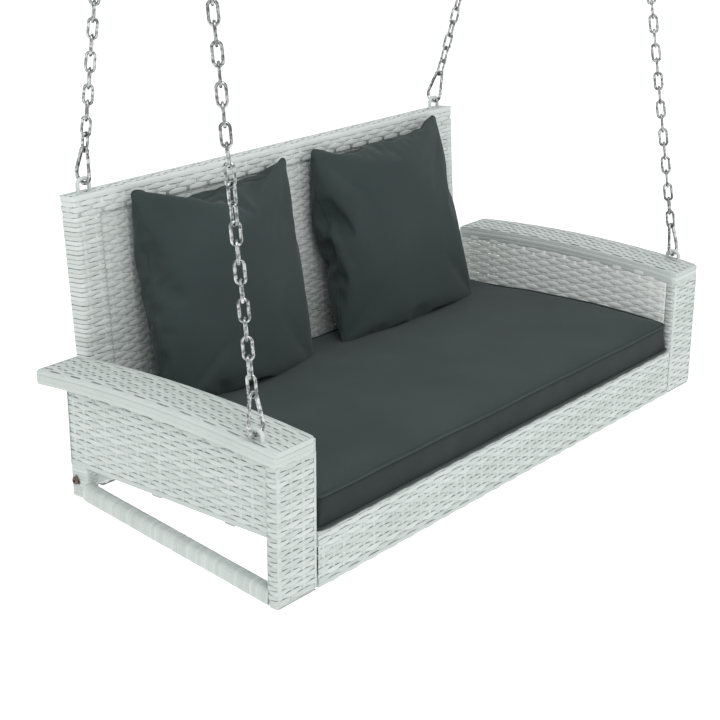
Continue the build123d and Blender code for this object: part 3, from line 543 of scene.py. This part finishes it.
def arm_cap(name, side):
    """Woven slab: lengthwise weave on top and below, and three straight strands round its edge."""
    middle = side * ARM_MIDDLE
    across_arm = (-ARM_WEAVE_HALF, ARM_WEAVE_HALF)
    strands = Strands()
    weave(strands, ArmFace(middle, BASE, 1, ARM_FOLD), (ARM_TOP_START, ARM_WEAVE_END), across_arm)
    under = ArmFace(middle, SLAB - BASE, -1, ARM_UNDER_FOLD)
    weave(strands, under, (ARM_UNDER_START, ARM_WEAVE_END), across_arm)
    edge = Loop(ARM_WIDTH - 2 * ARM_EDGE_INSET, ARM_DEPTH - 2 * ARM_EDGE_INSET, ARM_EDGE_CORNER)
    point, normal = edge.at(np.linspace(0, edge.length, ARM_EDGE_POINTS, endpoint=False))
    y = point[:, 1] + ARM_DEPTH / 2
    on_front = normal[:, 1] < -0.5
    for drop, inset, tilt in ARM_EDGE_STRANDS:
        fold = np.where(on_front, fold_inset(drop), inset)
        place_y = y - normal[:, 1] * (fold + STRAND_THICK / 2)
        place_x = middle + point[:, 0] - normal[:, 0] * (inset + STRAND_THICK / 2)
        centre = np.stack([place_x, place_y, arch(y) - drop], axis=1)
        out = np.stack([normal[:, 0], normal[:, 1], np.full(ARM_EDGE_POINTS, tilt)], axis=1)
        out /= np.linalg.norm(out, axis=1)[:, None]
        along = np.roll(centre, -1, axis=0) - np.roll(centre, 1, axis=0)
        along /= np.linalg.norm(along, axis=1)[:, None]
        strands.add(centre, np.cross(out, along), out, EDGE_WIDTH, ARM_EDGE_THICK, closed=True)
    strands.build(f"cane_arm_cap_{name}", [f"arm_cap_wrap_{name}"], "swing", cane_y)


POST_CORNER = 0.007
POST_WEAVE = (0.007, 0.231)
FOOT_INSET = 0.003
FOOT_CORNER = 0.004
FOOT_ROW_Z = 0.0035
FOOT_PITCHES = 10
SOLE_Z = 0.0012
SOLE_STRANDS_Y = (0.0055, 0.0125, 0.0195)
SOLE_WIDTH = 0.0072
SOLE_INSET = 0.006


def posts():
    """Rings of weave round both front posts, closed below by strands across their feet."""
    strands = Strands()
    width, depth = ARM_WIDTH - 2 * BASE, SLAB - 2 * BASE
    for _, side in LEFT_RIGHT:
        middle = (side * ARM_MIDDLE, SLAB / 2, 0)
        loop = Loop(width, depth, POST_CORNER)
        weave(strands, Rings(loop, middle, X, Y, Z), (0, loop.length), POST_WEAVE, closed=True)
        foot = Loop(width - 2 * FOOT_INSET, depth - 2 * FOOT_INSET, FOOT_CORNER)
        weft(strands, Rings(foot, middle, X, Y, Z), FOOT_ROW_Z, 0, foot.length, 0, foot.length / FOOT_PITCHES,
             1, ROW, straight=True, closed=True)
        for y in SOLE_STRANDS_Y:
            ends = (side * (ARM_INNER + SOLE_INSET), side * (HALF_WIDTH - SOLE_INSET))
            centre = np.array([(x, y, SOLE_Z) for x in ends])
            strands.add(centre, np.array([Y] * 2), np.array([(0, 0, -1)] * 2), SOLE_WIDTH, STRAND_THICK)
    strands.build("cane_posts", ["post_wraps"], "swing", cane_x)


PANEL_FRONT = SLAB - 0.004
PANEL_TOP = 0.246
PANEL_SAMPLES = 90
OUTER_BACK = REAR_POST_Y[1] - 0.002
OUTER_UNDER_ARM = 0.004
OUTER_EDGE_Y = REAR_POST_Y[1] - 0.001
OUTER_EDGE_OUT = 0.0018
OUTER_EDGE_TOP = 0.002
OUTER_EDGE_WIDTH, OUTER_EDGE_THICK = 0.006, 0.0016
OUTER_EDGE_POINTS = 12
# Upright strands turned round the rear post: how far in, and how much they face sideways and back
OUTER_EDGE_STRANDS = ((0.002, 0.8, 0.6), (0.006, 0.1, 1))
INNER_OUT = 0.0020
INNER_BACK = ARM_DEPTH - 0.006
INNER_BOTTOM = 0.070
INNER_UNDER_ARM = 0.006


def under_arm(back, sign, margin):
    """A panel's clip: the part of each row, along sign times y, that the arm's underside is above."""
    def clip(v):
        ys = [y for y in np.linspace(PANEL_FRONT, back, PANEL_SAMPLES) if arch(y, SLAB) + margin > v]
        if not ys:
            return 0.0, 0.0
        return tuple(sorted((sign * ys[0], sign * ys[-1])))

    return clip


def outer_panel(name, side):
    """Woven sheet outside the arm, its rows ending at the post and turned round the rear post."""
    strands = Strands()
    x = side * (HALF_WIDTH - PANEL_RECESS - BASE)
    surface = Flat((x, 0, 0), (0, side, 0), Z, (side, 0, 0))
    span = tuple(sorted((side * PANEL_FRONT, side * OUTER_BACK)))
    weave(strands, surface, span, (PANEL_BOTTOM, PANEL_TOP), straight_rows=(0,),
          clip=under_arm(OUTER_BACK, side, OUTER_UNDER_ARM))
    y = OUTER_EDGE_Y
    heights = np.linspace(PANEL_BOTTOM, float(arch(y, SLAB)) + OUTER_EDGE_TOP, OUTER_EDGE_POINTS)
    for inward, sideways, back in OUTER_EDGE_STRANDS:
        edge_x = x + side * (OUTER_EDGE_OUT - inward)
        centre = np.array([(edge_x, y, z) for z in heights])
        out = np.array((side * sideways, back, 0)) / math.hypot(sideways, back)
        out = np.tile(out, (OUTER_EDGE_POINTS, 1))
        strands.add(centre, np.cross(out, Z), out, OUTER_EDGE_WIDTH, OUTER_EDGE_THICK)
    strands.build(f"cane_outer_panel_{name}", [f"outer_panel_{name}"], "swing", cane_y)


def inner_panel(name, side):
    """Closely woven sheet inside the arm, facing the sitter."""
    strands = Strands()
    surface = Flat((side * (ARM_INNER + INNER_OUT), 0, 0), (0, -side, 0), Z, (-side, 0, 0))
    span = tuple(sorted((-side * PANEL_FRONT, -side * INNER_BACK)))
    weave(strands, surface, span, (INNER_BOTTOM, PANEL_TOP), CLOSE_WIDTH, INNER_SWING,
          clip=under_arm(INNER_BACK, -side, INNER_UNDER_ARM))
    strands.build(f"cane_inner_panel_{name}", [f"inner_panel_{name}"], "swing", cane_inner_painted_light)


for arm_name, arm_side in LEFT_RIGHT:
    arm_cap(arm_name, arm_side)
    outer_panel(arm_name, arm_side)
    inner_panel(arm_name, arm_side)
posts()


# Wrapped rails and rear posts -------------------------------------------------------------------
WRAP_WIDTH = 0.0064
WRAP_THICK = 0.0014
WRAP_INSET = 0.0008
WRAP_OVERLAP = 1.02
WRAP_LIFT = 0.0002
TURN_POINTS = 40
RAIL_CORNER, REAR_POST_CORNER = 0.0075, 0.004
RAIL_FRONT_PAST, RAIL_BACK_PAST = 0.002, 0.004
REAR_POST_GAPS = (0.0005, 0.001)


def wrap_rings(strands, surface, length, v_span):
    """Flat strand wound closely round a bar."""
    turns = max(1, int(round((v_span[1] - v_span[0]) / WRAP_WIDTH)))
    real = (v_span[1] - v_span[0]) / turns
    u = np.linspace(0, length, TURN_POINTS, endpoint=False)
    for index in range(turns):
        v = v_span[0] + (index + 0.5) * real
        slant = real * (u / length - 0.5)
        points, along, out = surface.at(u, np.full(len(u), v) + slant)
        lift = WRAP_LIFT * rng.uniform(-1, 1)
        strands.add(points + out * lift, np.cross(out, along), out, real * WRAP_OVERLAP, WRAP_THICK,
                    closed=True)


def rails():
    """Wound strands round both lower side rails."""
    strands = Strands()
    along = (0, math.cos(RAIL_RISE), math.sin(RAIL_RISE))
    up = (0, -math.sin(RAIL_RISE), math.cos(RAIL_RISE))
    loop = Loop(RAIL_WIDTH - 2 * WRAP_INSET, RAIL_HEIGHT - 2 * WRAP_INSET, RAIL_CORNER)
    reach = (REAR_POST_Y[0] - SLAB) / math.cos(RAIL_RISE)
    for _, side in LEFT_RIGHT:
        x = side * (HALF_WIDTH - RAIL_WIDTH / 2)
        surface = Rings(loop, (x, SLAB, RAIL_FRONT_Z), (-1, 0, 0), up, along)
        wrap_rings(strands, surface, loop.length, (-RAIL_FRONT_PAST, reach + RAIL_BACK_PAST))
    strands.build("cane_lower_rails", ["lower_rail_wraps"], "swing", cane_wrap)


def rear_posts():
    """Wound strands round both rear posts, below the outer panels."""
    strands = Strands()
    depth = REAR_POST_Y[1] - REAR_POST_Y[0]
    loop = Loop(RAIL_WIDTH - 2 * WRAP_INSET, depth - 2 * WRAP_INSET, REAR_POST_CORNER)
    span = (REAR_POST_BOTTOM + REAR_POST_GAPS[0], PANEL_BOTTOM - REAR_POST_GAPS[1])
    for _, side in LEFT_RIGHT:
        x = side * (HALF_WIDTH - PANEL_RECESS - RAIL_WIDTH / 2)
        surface = Rings(loop, (x, sum(REAR_POST_Y) / 2, 0), X, Y, Z)
        wrap_rings(strands, surface, loop.length, span)
    strands.build("cane_rear_posts", ["rear_post_wraps"], "swing", cane_wrap)


rails()
rear_posts()


# Apron and deck ---------------------------------------------------------------------------------
APRON_CORNER = 0.003
APRON_GAP = 0.0005
DECK_DROP = 0.002
DECK_FRONT = 0.026
DECK_GAP = 0.001


def apron():
    """Rows along X laid round the two front tubes."""
    strands = Strands()
    loop = Loop(SLAB - APRON_RECESS - 2 * BASE, APRON_HEIGHT - 2 * BASE, APRON_CORNER)
    surface = Lengthwise(loop, (0, (SLAB + APRON_RECESS) / 2, APRON_HEIGHT / 2), Y, Z, X)
    half = ARM_INNER - APRON_GAP
    weave(strands, surface, (-half, half), (0, loop.length))
    strands.build("cane_apron", ["front_apron_wrap"], "swing", cane_x)


def deck():
    """Flat weave under the seat cushion."""
    strands = Strands()
    surface = Flat((0, 0, APRON_HEIGHT - DECK_DROP), X, Y, Z)
    half = ARM_INNER - DECK_GAP
    weave(strands, surface, (-half, half), (DECK_FRONT, DECK_BACK - DECK_GAP), pitch=BAND_WARP)
    strands.build("cane_deck", ["seat_deck"], "swing", cane_x)


apron()
deck()


# Backrest ---------------------------------------------------------------------------------------
BAND_CORNER = 0.006
BAND_TOP = BACK_HEIGHT - 0.001
BAND_LOW = 0.003
LID_GAP_X, LID_GAP_Y = 0.002, 0.001
SHEET_LAP = 0.003
# On a side band's faces the strands weave this far from the middle, and then calm to the corners
FACE_HALF, FACE_FADE = 0.026, 0.006


def leaning(vector):
    """A direction of the upright backrest, leant back."""
    x, y, z = vector
    c, s = math.cos(BACK_LEAN), math.sin(BACK_LEAN)
    return np.array((x, y * c + z * s, -y * s + z * c))


def on_back(x, y, z):
    """A point of the upright backrest, y behind its front face, put in its place."""
    return np.array((0, BACK_FRONT_Y, BACK_BOTTOM_Z)) + leaning((x, y, z))


BACK_X, BACK_Y, BACK_Z = np.array((1.0, 0, 0)), leaning((0, 1, 0)), leaning((0, 0, 1))


def round_band(u, half):
    """Place on a side band's nearest face, and how calm the strand is there. half is half way round."""
    from_middle = np.mod(u + half / 2, half) - half / 2
    return from_middle, np.clip((np.abs(from_middle) - FACE_HALF) / FACE_FADE, 0, 1)


def back_border():
    """Bands round the backrest: rings at its top and bottom, and round each side."""
    strands = Strands()
    around = Loop(2 * (BACK_HALF - BASE), BACK_THICK - 2 * BASE, BAND_CORNER)
    surface = Rings(around, on_back(0, BACK_THICK / 2, 0), BACK_X, BACK_Y, BACK_Z)
    top_start = BACK_HEIGHT - BACK_TOP_BAND
    weave(strands, surface, (0, around.length), (top_start, BAND_TOP), BAND_WIDTH, closed=True,
          straight_rows=(-1,))
    weave(strands, surface, (0, around.length), (BAND_LOW, BACK_BAND), BAND_WIDTH, closed=True)
    lid_half = BACK_HALF - LID_GAP_X
    for z, facing in ((BACK_HEIGHT - BASE, 1), (BASE, -1)):
        lid = Flat(on_back(0, 0, z), BACK_X * facing, BACK_Y, BACK_Z * facing)
        weave(strands, lid, (-lid_half, lid_half), (LID_GAP_Y, BACK_THICK - LID_GAP_Y), EDGE_WIDTH,
              straight_rows=(0, -1))
    band = Loop(BACK_BAND - 2 * BASE, BACK_THICK - 2 * BASE, BAND_CORNER)
    half_round = band.length / 2
    rows = round((top_start - BACK_BAND) / ROW)
    for _, side in LEFT_RIGHT:
        middle = on_back(side * (BACK_HALF - BACK_BAND / 2), BACK_THICK / 2, 0)
        surface = Rings(band, middle, BACK_X, BACK_Y, BACK_Z)
        for index in range(rows):
            v = BACK_BAND + (index + 0.5) * (top_start - BACK_BAND) / rows
            weft(strands, surface, v, 0, band.length, BAND_WARP / 2, BAND_WARP, (-1) ** index, BAND_WIDTH,
                 closed=True, faces=lambda u: round_band(u, half_round))
        for u in (-BAND_WARP / 2, BAND_WARP / 2):
            for face in (0, half_round):
                warp(strands, surface, face + u, BACK_BAND, top_start)
    names = ["backrest_side_wraps", "backrest_top_wrap", "backrest_bottom_wrap"]
    strands.build("cane_back_border", names, "swing", cane_back_painted_light)


def back_sheet(name, y, facing):
    """Closely woven sheet between the backrest's bands."""
    strands = Strands()
    surface = Flat(on_back(0, y, 0), BACK_X * facing, BACK_Z, -BACK_Y * facing)
    half = BACK_HALF - BACK_BAND + SHEET_LAP
    span = (BACK_BAND - SHEET_LAP, BACK_HEIGHT - BACK_TOP_BAND + SHEET_LAP)
    weave(strands, surface, (-half, half), span, CLOSE_WIDTH, BACK_SWING)
    strands.build(f"cane_{name}", [name], "swing", cane_back_painted_light)


back_border()
back_sheet("backrest_front_weave", BACK_RECESS, 1)
back_sheet("backrest_rear_weave", BACK_THICK - BACK_RECESS, -1)


# Cushions ---------------------------------------------------------------------------------------
def inflated(name, points, faces, pressure, frames, pinned=()):
    """Points of a closed cover after it is blown up as cloth, without gravity."""
    mesh = bpy.data.meshes.new(name)
    mesh.from_pydata(points.tolist(), [], faces)
    cover = bpy.data.objects.new(name, mesh)
    bpy.context.scene.collection.objects.link(cover)
    if len(pinned):
        cover.vertex_groups.new(name="pinned").add([int(index) for index in pinned], 1.0, "REPLACE")
    modifier = cover.modifiers.new("inflate", "CLOTH")
    cloth = modifier.settings
    cloth.quality = 6
    cloth.mass = 0.3
    cloth.tension_stiffness = cloth.compression_stiffness = 25
    cloth.shear_stiffness = 12
    cloth.bending_stiffness = 0.6
    cloth.use_pressure = True
    cloth.uniform_pressure_force = pressure
    cloth.effector_weights.gravity = 0
    if len(pinned):
        cloth.vertex_group_mass = "pinned"
    modifier.point_cache.frame_start, modifier.point_cache.frame_end = 1, frames
    for step in range(1, frames + 1):
        bpy.context.scene.frame_set(step)
    evaluated = cover.evaluated_get(bpy.context.evaluated_depsgraph_get())
    result = np.empty(len(points) * 3)
    evaluated.data.vertices.foreach_get("co", result)
    bpy.data.objects.remove(cover)
    bpy.context.scene.frame_set(1)
    return result.reshape(-1, 3)


def box_grid(counts):
    """Closed box of quads: its integer grid points, its faces, and a lookup from grid point to index."""
    nx, ny, nz = counts
    lookup, points, faces = {}, [], []

    def corner(i, j, k):
        if (i, j, k) not in lookup:
            lookup[i, j, k] = len(points)
            points.append((i / nx, j / ny, k / nz))
        return lookup[i, j, k]

    def quad(*corners):
        faces.append([corner(*each) for each in corners])

    for i in range(nx):
        for j in range(ny):
            quad((i, j, nz), (i + 1, j, nz), (i + 1, j + 1, nz), (i, j + 1, nz))
            quad((i, j, 0), (i, j + 1, 0), (i + 1, j + 1, 0), (i + 1, j, 0))
    for k in range(nz):
        for i in range(nx):
            quad((i, 0, k), (i + 1, 0, k), (i + 1, 0, k + 1), (i, 0, k + 1))
            quad((i, ny, k), (i, ny, k + 1), (i + 1, ny, k + 1), (i + 1, ny, k))
        for j in range(ny):
            quad((0, j, k), (0, j, k + 1), (0, j + 1, k + 1), (0, j + 1, k))
            quad((nx, j, k), (nx, j + 1, k), (nx, j + 1, k + 1), (nx, j, k + 1))
    return np.array(points), faces, lookup


def rim(lookup, nx, ny, k):
    """Indices round the box's edge at one height."""
    walk = [(i, 0) for i in range(nx)] + [(nx, j) for j in range(ny)]
    walk += [(i, ny) for i in range(nx, 0, -1)] + [(0, j) for j in range(ny, 0, -1)]
    return [lookup[i, j, k] for i, j in walk]


def cord_round(points, radius, sides=8):
    """Points and faces of a closed round cord."""
    along = np.roll(points, -1, axis=0) - np.roll(points, 1, axis=0)
    along /= np.linalg.norm(along, axis=1)[:, None]
    middle = points.mean(axis=0)
    outward = points - middle
    outward -= along * np.sum(outward * along, axis=1)[:, None]
    outward /= np.linalg.norm(outward, axis=1)[:, None]
    across = np.cross(along, outward)
    turns = np.linspace(0, 2 * math.pi, sides, endpoint=False)
    ring = [points + radius * (math.cos(t) * outward + math.sin(t) * across) for t in turns]
    block = np.stack(ring, axis=1).reshape(-1, 3)
    index = np.arange(len(points) * sides).reshape(len(points), sides)
    ahead = np.roll(index, -1, axis=0)
    quads = np.stack([index, np.roll(index, -1, axis=1), np.roll(ahead, -1, axis=1), ahead], axis=-1)
    return block, quads.reshape(-1, 4)


def smooth_noise(points, scale, seed):
    """Smooth noise from -1 to 1 at each point."""
    return np.array([noise.noise(Vector(point) * scale + Vector((seed, 0, 0))) for point in points])


def soft_piece(name, node, body, points, faces, cords, boxing=()):
    """One soft mesh of a cover and its cords, in place of a CAD solid. boxing marks its side faces, which get
    painted shade: a darker copy of the fabric.
    """
    blocks, all_faces, count = [points], [list(face) for face in faces], len(points)
    for cord_points, radius in cords:
        block, quads = cord_round(cord_points, radius)
        blocks.append(block)
        all_faces += (quads + count).tolist()
        count += len(block)
    mesh = bpy.data.meshes.new(name)
    mesh.from_pydata((np.concatenate(blocks) + np.array(SEAT)).tolist(), [], all_faces)
    mesh.polygons.foreach_set("use_smooth", np.ones(len(mesh.polygons), bool))
    mesh.update()
    piece = place(name, mesh, body, fabric)
    if len(boxing):
        mesh.materials.append(boxing_painted_shade_fabric)
        for index in boxing:
            mesh.polygons[index].material_index = 1
    finer = piece.modifiers.new("finer", "SUBSURF")
    finer.levels = finer.render_levels = 1
    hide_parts(node)


def round_corners(points, low, size, radius):
    """Pulls a box's upright edges in to a radius."""
    moved = points.copy()
    middle = low[:2] + size[:2] / 2
    offset = points[:, :2] - middle
    reach = size[:2] / 2 - radius
    beyond = np.clip(np.abs(offset) - reach, 0, None)
    length = np.linalg.norm(beyond, axis=1)
    both = (beyond[:, 0] > 0) & (beyond[:, 1] > 0) & (length > 0)
    largest = np.maximum(beyond[:, 0], beyond[:, 1])
    scale = np.where(both, largest / np.where(length > 0, length, 1), 1.0)
    moved[:, :2] = middle + np.sign(offset) * (np.minimum(np.abs(offset), reach) + beyond * scale[:, None])
    return moved


CUSHION_GRID = (96, 46, 6)
CUSHION_LOW = np.array((-0.5415, 0.004, APRON_HEIGHT + 0.0015))
CUSHION_SIZE = np.array((1.083, DECK_BACK - 0.008, 0.053))
CUSHION_CORNER = 0.010
CUSHION_PRESSURE, CUSHION_FRAMES = 2.2, 16
# How far the cloth may carry the cover sideways, downward and upward
COVER_SIDE, COVER_DOWN, COVER_UP = 0.005, 0.001, 0.0045
# The cushion's room in the seat, and the sides that its crown is measured from
CUSHION_ROOM = ((-0.5438, 0.001, APRON_HEIGHT + 0.0004), (0.5438, DECK_BACK + 0.002, 0.166))
CROWN_X, CROWN_Y = (-0.54, 0.54), (0.004, DECK_BACK - 0.004)
CROWN_REACH, CROWN_RISE, RIDGE_RISE = 0.10, 0.004, 0.011
RIDGE_END, RIDGE_FADE = 0.93, 0.25
# Sizes, scales and seeds of the noise on the cushion's top and on its front
TOP_NOISE, FRONT_NOISE = (0.0018, 9.0, 3.0), (0.0012, 22.0, 8.0)
CORD_RADIUS = 0.0024
UPPER_CORD_DROP, LOWER_CORD_LIFT = 0.0003, 0.0026


def seat_cushion():
    """Box cushion with a cord round its upper and lower edges, a little crowned and uneven."""
    nx, ny, nz = CUSHION_GRID
    unit, faces, lookup = box_grid(CUSHION_GRID)
    deep, level = unit[:, 1], unit[:, 2]
    start = round_corners(CUSHION_LOW + unit * CUSHION_SIZE, CUSHION_LOW, CUSHION_SIZE, CUSHION_CORNER)
    pinned = np.flatnonzero(level == 0)
    moved = start
    moved = inflated("seat_cover", start, faces, CUSHION_PRESSURE, CUSHION_FRAMES, pinned)
    shift = np.clip(moved - start, -COVER_SIDE, COVER_SIDE)
    shift[:, 2] = np.clip(shift[:, 2], -COVER_DOWN, COVER_UP)
    points = start + shift
    inward_x = np.minimum(points[:, 0] - CROWN_X[0], CROWN_X[1] - points[:, 0])
    inward_y = np.minimum(points[:, 1] - CROWN_Y[0], CROWN_Y[1] - points[:, 1])
    rise = np.clip(np.minimum(inward_x, inward_y) / CROWN_REACH, 0, 1) ** 0.5
    ridge = np.sin(math.pi * deep**0.8) * np.clip((RIDGE_END - deep) / RIDGE_FADE, 0, 1)
    height, scale, seed = TOP_NOISE
    lift = CROWN_RISE * rise + RIDGE_RISE * ridge + height * smooth_noise(points, scale, seed)
    points[:, 2] += level**2 * lift
    depth, scale, seed = FRONT_NOISE
    on_front = (level > 0) & (level < 1) & (deep == 0)
    points[:, 1] += np.where(on_front, -depth * smooth_noise(points, scale, seed), 0)
    points = np.clip(points, *CUSHION_ROOM)
    upper = points[rim(lookup, nx, ny, nz)] - (0, 0, UPPER_CORD_DROP)
    lower = points[rim(lookup, nx, ny, 0)] + (0, 0, LOWER_CORD_LIFT)
    cords = [(upper, CORD_RADIUS), (lower, CORD_RADIUS)]
    # The side faces, which get the darker fabric as painted shade.
    boxing = [index for index, face in enumerate(faces) if level[face].min() < 1 and level[face].max() > 0]
    soft_piece("soft_seat_cushion", "seat_cushion", "seat_cushion_body", points, faces, cords,
               boxing)


PILLOW_GRID = 56
PILLOW_SIZE = 0.43
PILLOW_CORNER = 0.007
PILLOW_THICK, PILLOW_EDGE = 0.004, 0.4
PILLOW_PUFF, PILLOW_QUICK_PUFF = 0.012, 0.06
PILLOW_NOISE = (0.002, 14.0)
PILLOW_PRESSURE, PILLOW_FRAMES = 3.2, 24
PILLOW_BACK = 0.8
BACK_GAP, CUSHION_GAP = 0.003, 0.0035
SEAM_RADIUS = 0.0016
# How much of a blown-up square's inward curve is kept: at its left and bottom, its right, and its top
KEEP_LEFT, KEEP_RIGHT, KEEP_TOP = 0.25, 0.7, 0.72
EDGE_MIDDLE = 0.05


def straighter(across, up, edge):
    """Changes how far the sides, and the top and bottom, of a blown-up square curve inward."""
    middle_x = np.abs(edge[np.abs(edge[:, 1]) < EDGE_MIDDLE, 0]).mean()
    middle_y = np.abs(edge[np.abs(edge[:, 0]) < EDGE_MIDDLE, 1]).mean()
    curve_x, curve_y = (0.5 - middle_x) * (1 - 4 * up**2), (0.5 - middle_y) * (1 - 4 * across**2)
    s = across * (0.5 - np.where(across > 0, KEEP_RIGHT, KEEP_LEFT) * curve_x) / (0.5 - curve_x)
    t = up * (0.5 - np.where(up > 0, KEEP_TOP, KEEP_LEFT) * curve_y) / (0.5 - curve_y)
    return s + 0.5, t + 0.5


def pillow_cover(name, seed):
    """Two flat squares sewn at their edges and blown up.

    Gives the points, the faces, the lookup, and which points are on the edge.
    """
    unit, faces, lookup = box_grid((PILLOW_GRID, PILLOW_GRID, 1))
    flat = (unit - 0.5) * (PILLOW_SIZE, PILLOW_SIZE, PILLOW_THICK)
    low, size = np.array((-PILLOW_SIZE / 2, -PILLOW_SIZE / 2, 0)), np.array((PILLOW_SIZE, PILLOW_SIZE, 0))
    flat = round_corners(flat, low, size, PILLOW_CORNER)
    edge = (unit[:, 0] == 0) | (unit[:, 0] == 1) | (unit[:, 1] == 0) | (unit[:, 1] == 1)
    flat[edge, 2] *= PILLOW_EDGE
    bulge = 0.5 * (1 - (2 * unit[:, 0] - 1) ** 4) * (1 - (2 * unit[:, 1] - 1) ** 4)
    flat[:, 2] += np.sign(flat[:, 2]) * PILLOW_PUFF * bulge
    height, scale = PILLOW_NOISE
    flat[:, 2] += height * smooth_noise(flat, scale, seed) * (1 - edge)
    return inflated(f"{name}_cover", flat, faces, PILLOW_PRESSURE, PILLOW_FRAMES), faces, lookup, edge
    flat[:, 2] += np.sign(flat[:, 2]) * PILLOW_QUICK_PUFF * bulge
    return flat, faces, lookup, edge


def pillow(name, corners, seed, front_thick):
    """Knife-edge pillow, leant on the backrest between its four corners."""
    blown, faces, lookup, edge = pillow_cover(name, seed)
    far = PILLOW_GRID
    low_left, low_right, high_left, high_right = (
        blown[lookup[i, j, 1]] for i, j in ((0, 0), (far, 0), (0, far), (far, far)))
    width = (low_right[0] - low_left[0] + high_right[0] - high_left[0]) / 2
    height = (high_left[1] - low_left[1] + high_right[1] - low_right[1]) / 2
    s, t = straighter(blown[:, 0] / width, blown[:, 1] / height, blown[edge][:, :2] / (width, height))
    bottom_left, bottom_right, top_left, top_right = (np.array(corner) for corner in corners)
    across = bottom_right - bottom_left
    up = (top_left + top_right - bottom_left - bottom_right) / 2
    out = np.cross(across, up)
    out /= np.linalg.norm(out)
    points = (np.outer((1 - s) * (1 - t), bottom_left) + np.outer(s * (1 - t), bottom_right)
              + np.outer((1 - s) * t, top_left) + np.outer(s * t, top_right))
    thick = np.where(blown[:, 2] > 0, front_thick, PILLOW_BACK)
    points += np.outer(blown[:, 2] * thick, out)
    wall = BACK_FRONT_Y + (points[:, 2] - BACK_BOTTOM_Z) * math.tan(BACK_LEAN) - BACK_GAP
    points[:, 1] = np.minimum(points[:, 1], wall)
    points[:, 2] = np.maximum(points[:, 2], CUSHION_TOP + CUSHION_GAP)
    front, back = (points[rim(lookup, far, far, layer)] for layer in (1, 0))
    cords = [((front + back) / 2, SEAM_RADIUS)]
    soft_piece(f"soft_{name}", name, f"{name}_body", points, faces, cords)


# Each pillow's bottom left, bottom right, top left and top right corners
LEFT_CORNERS = ((-0.447, 0.425, 0.150), (-0.074, 0.420, 0.150),
                (-0.416, 0.524, 0.519), (-0.032, 0.522, 0.510))
RIGHT_CORNERS = ((0.026, 0.421, 0.150), (0.440, 0.419, 0.150),
                 (0.046, 0.523, 0.513), (0.437, 0.524, 0.520))

seat_cushion()
pillow("pillow_left", LEFT_CORNERS, seed=1.0, front_thick=0.68)
pillow("pillow_right", RIGHT_CORNERS, seed=5.0, front_thick=0.64)


# Floor, light and camera ------------------------------------------------------------------------
FLOOR_HALF = 60.0
FLOOR_DROP = 0.75
FLOOR_GLOW = 0.5
SKY_FACING = (-0.22, -0.30, 0.93)
SKY_DARK, SKY_LIGHT, SKY_FULL = (0.55, 0.56, 0.57), (1.0, 1.0, 1.0), 0.9
KEY_PLACE, KEY_TARGET = (-1.3, -1.3, 3.2), (0, 0.25, 0.2)
KEY_SIZE, KEY_WATTS = 1.6, 34
CAMERA_PLACE = (-2.19, -1.42, 1.157)
AZIMUTH, ELEVATION, ROLL = math.radians(50.81), math.radians(19.80), math.radians(-0.23)
LENS, SENSOR = 79.15, 36.0
FARTHEST = 200


def floor():
    """Plain pale floor, which glows a little so that it stays pale."""
    mesh = bpy.data.meshes.new("floor")
    corners = ((-1, -1), (1, -1), (1, 1), (-1, 1))
    height = SEAT.z - FLOOR_DROP
    mesh.from_pydata([(FLOOR_HALF * x, FLOOR_HALF * y, height) for x, y in corners], [], [(0, 1, 2, 3)])
    plane = bpy.data.objects.new("floor", mesh)
    bpy.context.scene.collection.objects.link(plane)
    pale, _, _, shader = material("pale_floor", (0.9, 0.9, 0.9), 0.9, specular=0.1)
    shader.inputs["Emission Color"].default_value = (1, 1, 1, 1)
    shader.inputs["Emission Strength"].default_value = FLOOR_GLOW
    mesh.materials.append(pale)


def area_light(name, location, target, size, watts):
    """Round lamp at a place, turned to a target."""
    data = bpy.data.lights.new(name, "AREA")
    data.shape = "DISK"
    data.size = size
    data.energy = watts
    lamp = bpy.data.objects.new(name, data)
    bpy.context.scene.collection.objects.link(lamp)
    lamp.location = location
    lamp.rotation_mode = "QUATERNION"
    lamp.rotation_quaternion = (target - location).to_track_quat("-Z", "Y")


def studio():
    """Soft light from all round, brightest from above and a little from the camera's side, and one lamp."""
    world = bpy.data.worlds.new("studio")
    bpy.context.scene.world = world
    world.use_nodes = True
    nodes, links = world.node_tree.nodes, world.node_tree.links
    background = nodes["Background"]
    where = nodes.new("ShaderNodeTexCoord")
    facing = nodes.new("ShaderNodeVectorMath")
    facing.operation = "DOT_PRODUCT"
    facing.inputs[1].default_value = SKY_FACING
    links.new(where.outputs["Generated"], facing.inputs[0])
    shade = ramp(nodes, links, facing.outputs["Value"], SKY_DARK, SKY_LIGHT, 0.0, SKY_FULL)
    links.new(shade.outputs["Color"], background.inputs["Color"])
    background.inputs["Strength"].default_value = 1.0
    area_light("key", SEAT + Vector(KEY_PLACE), SEAT + Vector(KEY_TARGET), KEY_SIZE, KEY_WATTS)
    bpy.context.scene.view_settings.view_transform = "Standard"


def camera():
    """Camera at the photograph's viewing angle."""
    level = math.cos(ELEVATION)
    forward = Vector((math.sin(AZIMUTH) * level, math.cos(AZIMUTH) * level, -math.sin(ELEVATION)))
    data = bpy.data.cameras.new("camera")
    data.lens, data.sensor_width = LENS, SENSOR
    data.clip_end = FARTHEST
    made = bpy.data.objects.new("camera", data)
    bpy.context.scene.collection.objects.link(made)
    made.location = SEAT + Vector(CAMERA_PLACE)
    made.rotation_mode = "QUATERNION"
    made.rotation_quaternion = forward.to_track_quat("-Z", "Y") @ Quaternion(Z, -ROLL)
    bpy.context.scene.camera = made


floor()
studio()
camera()
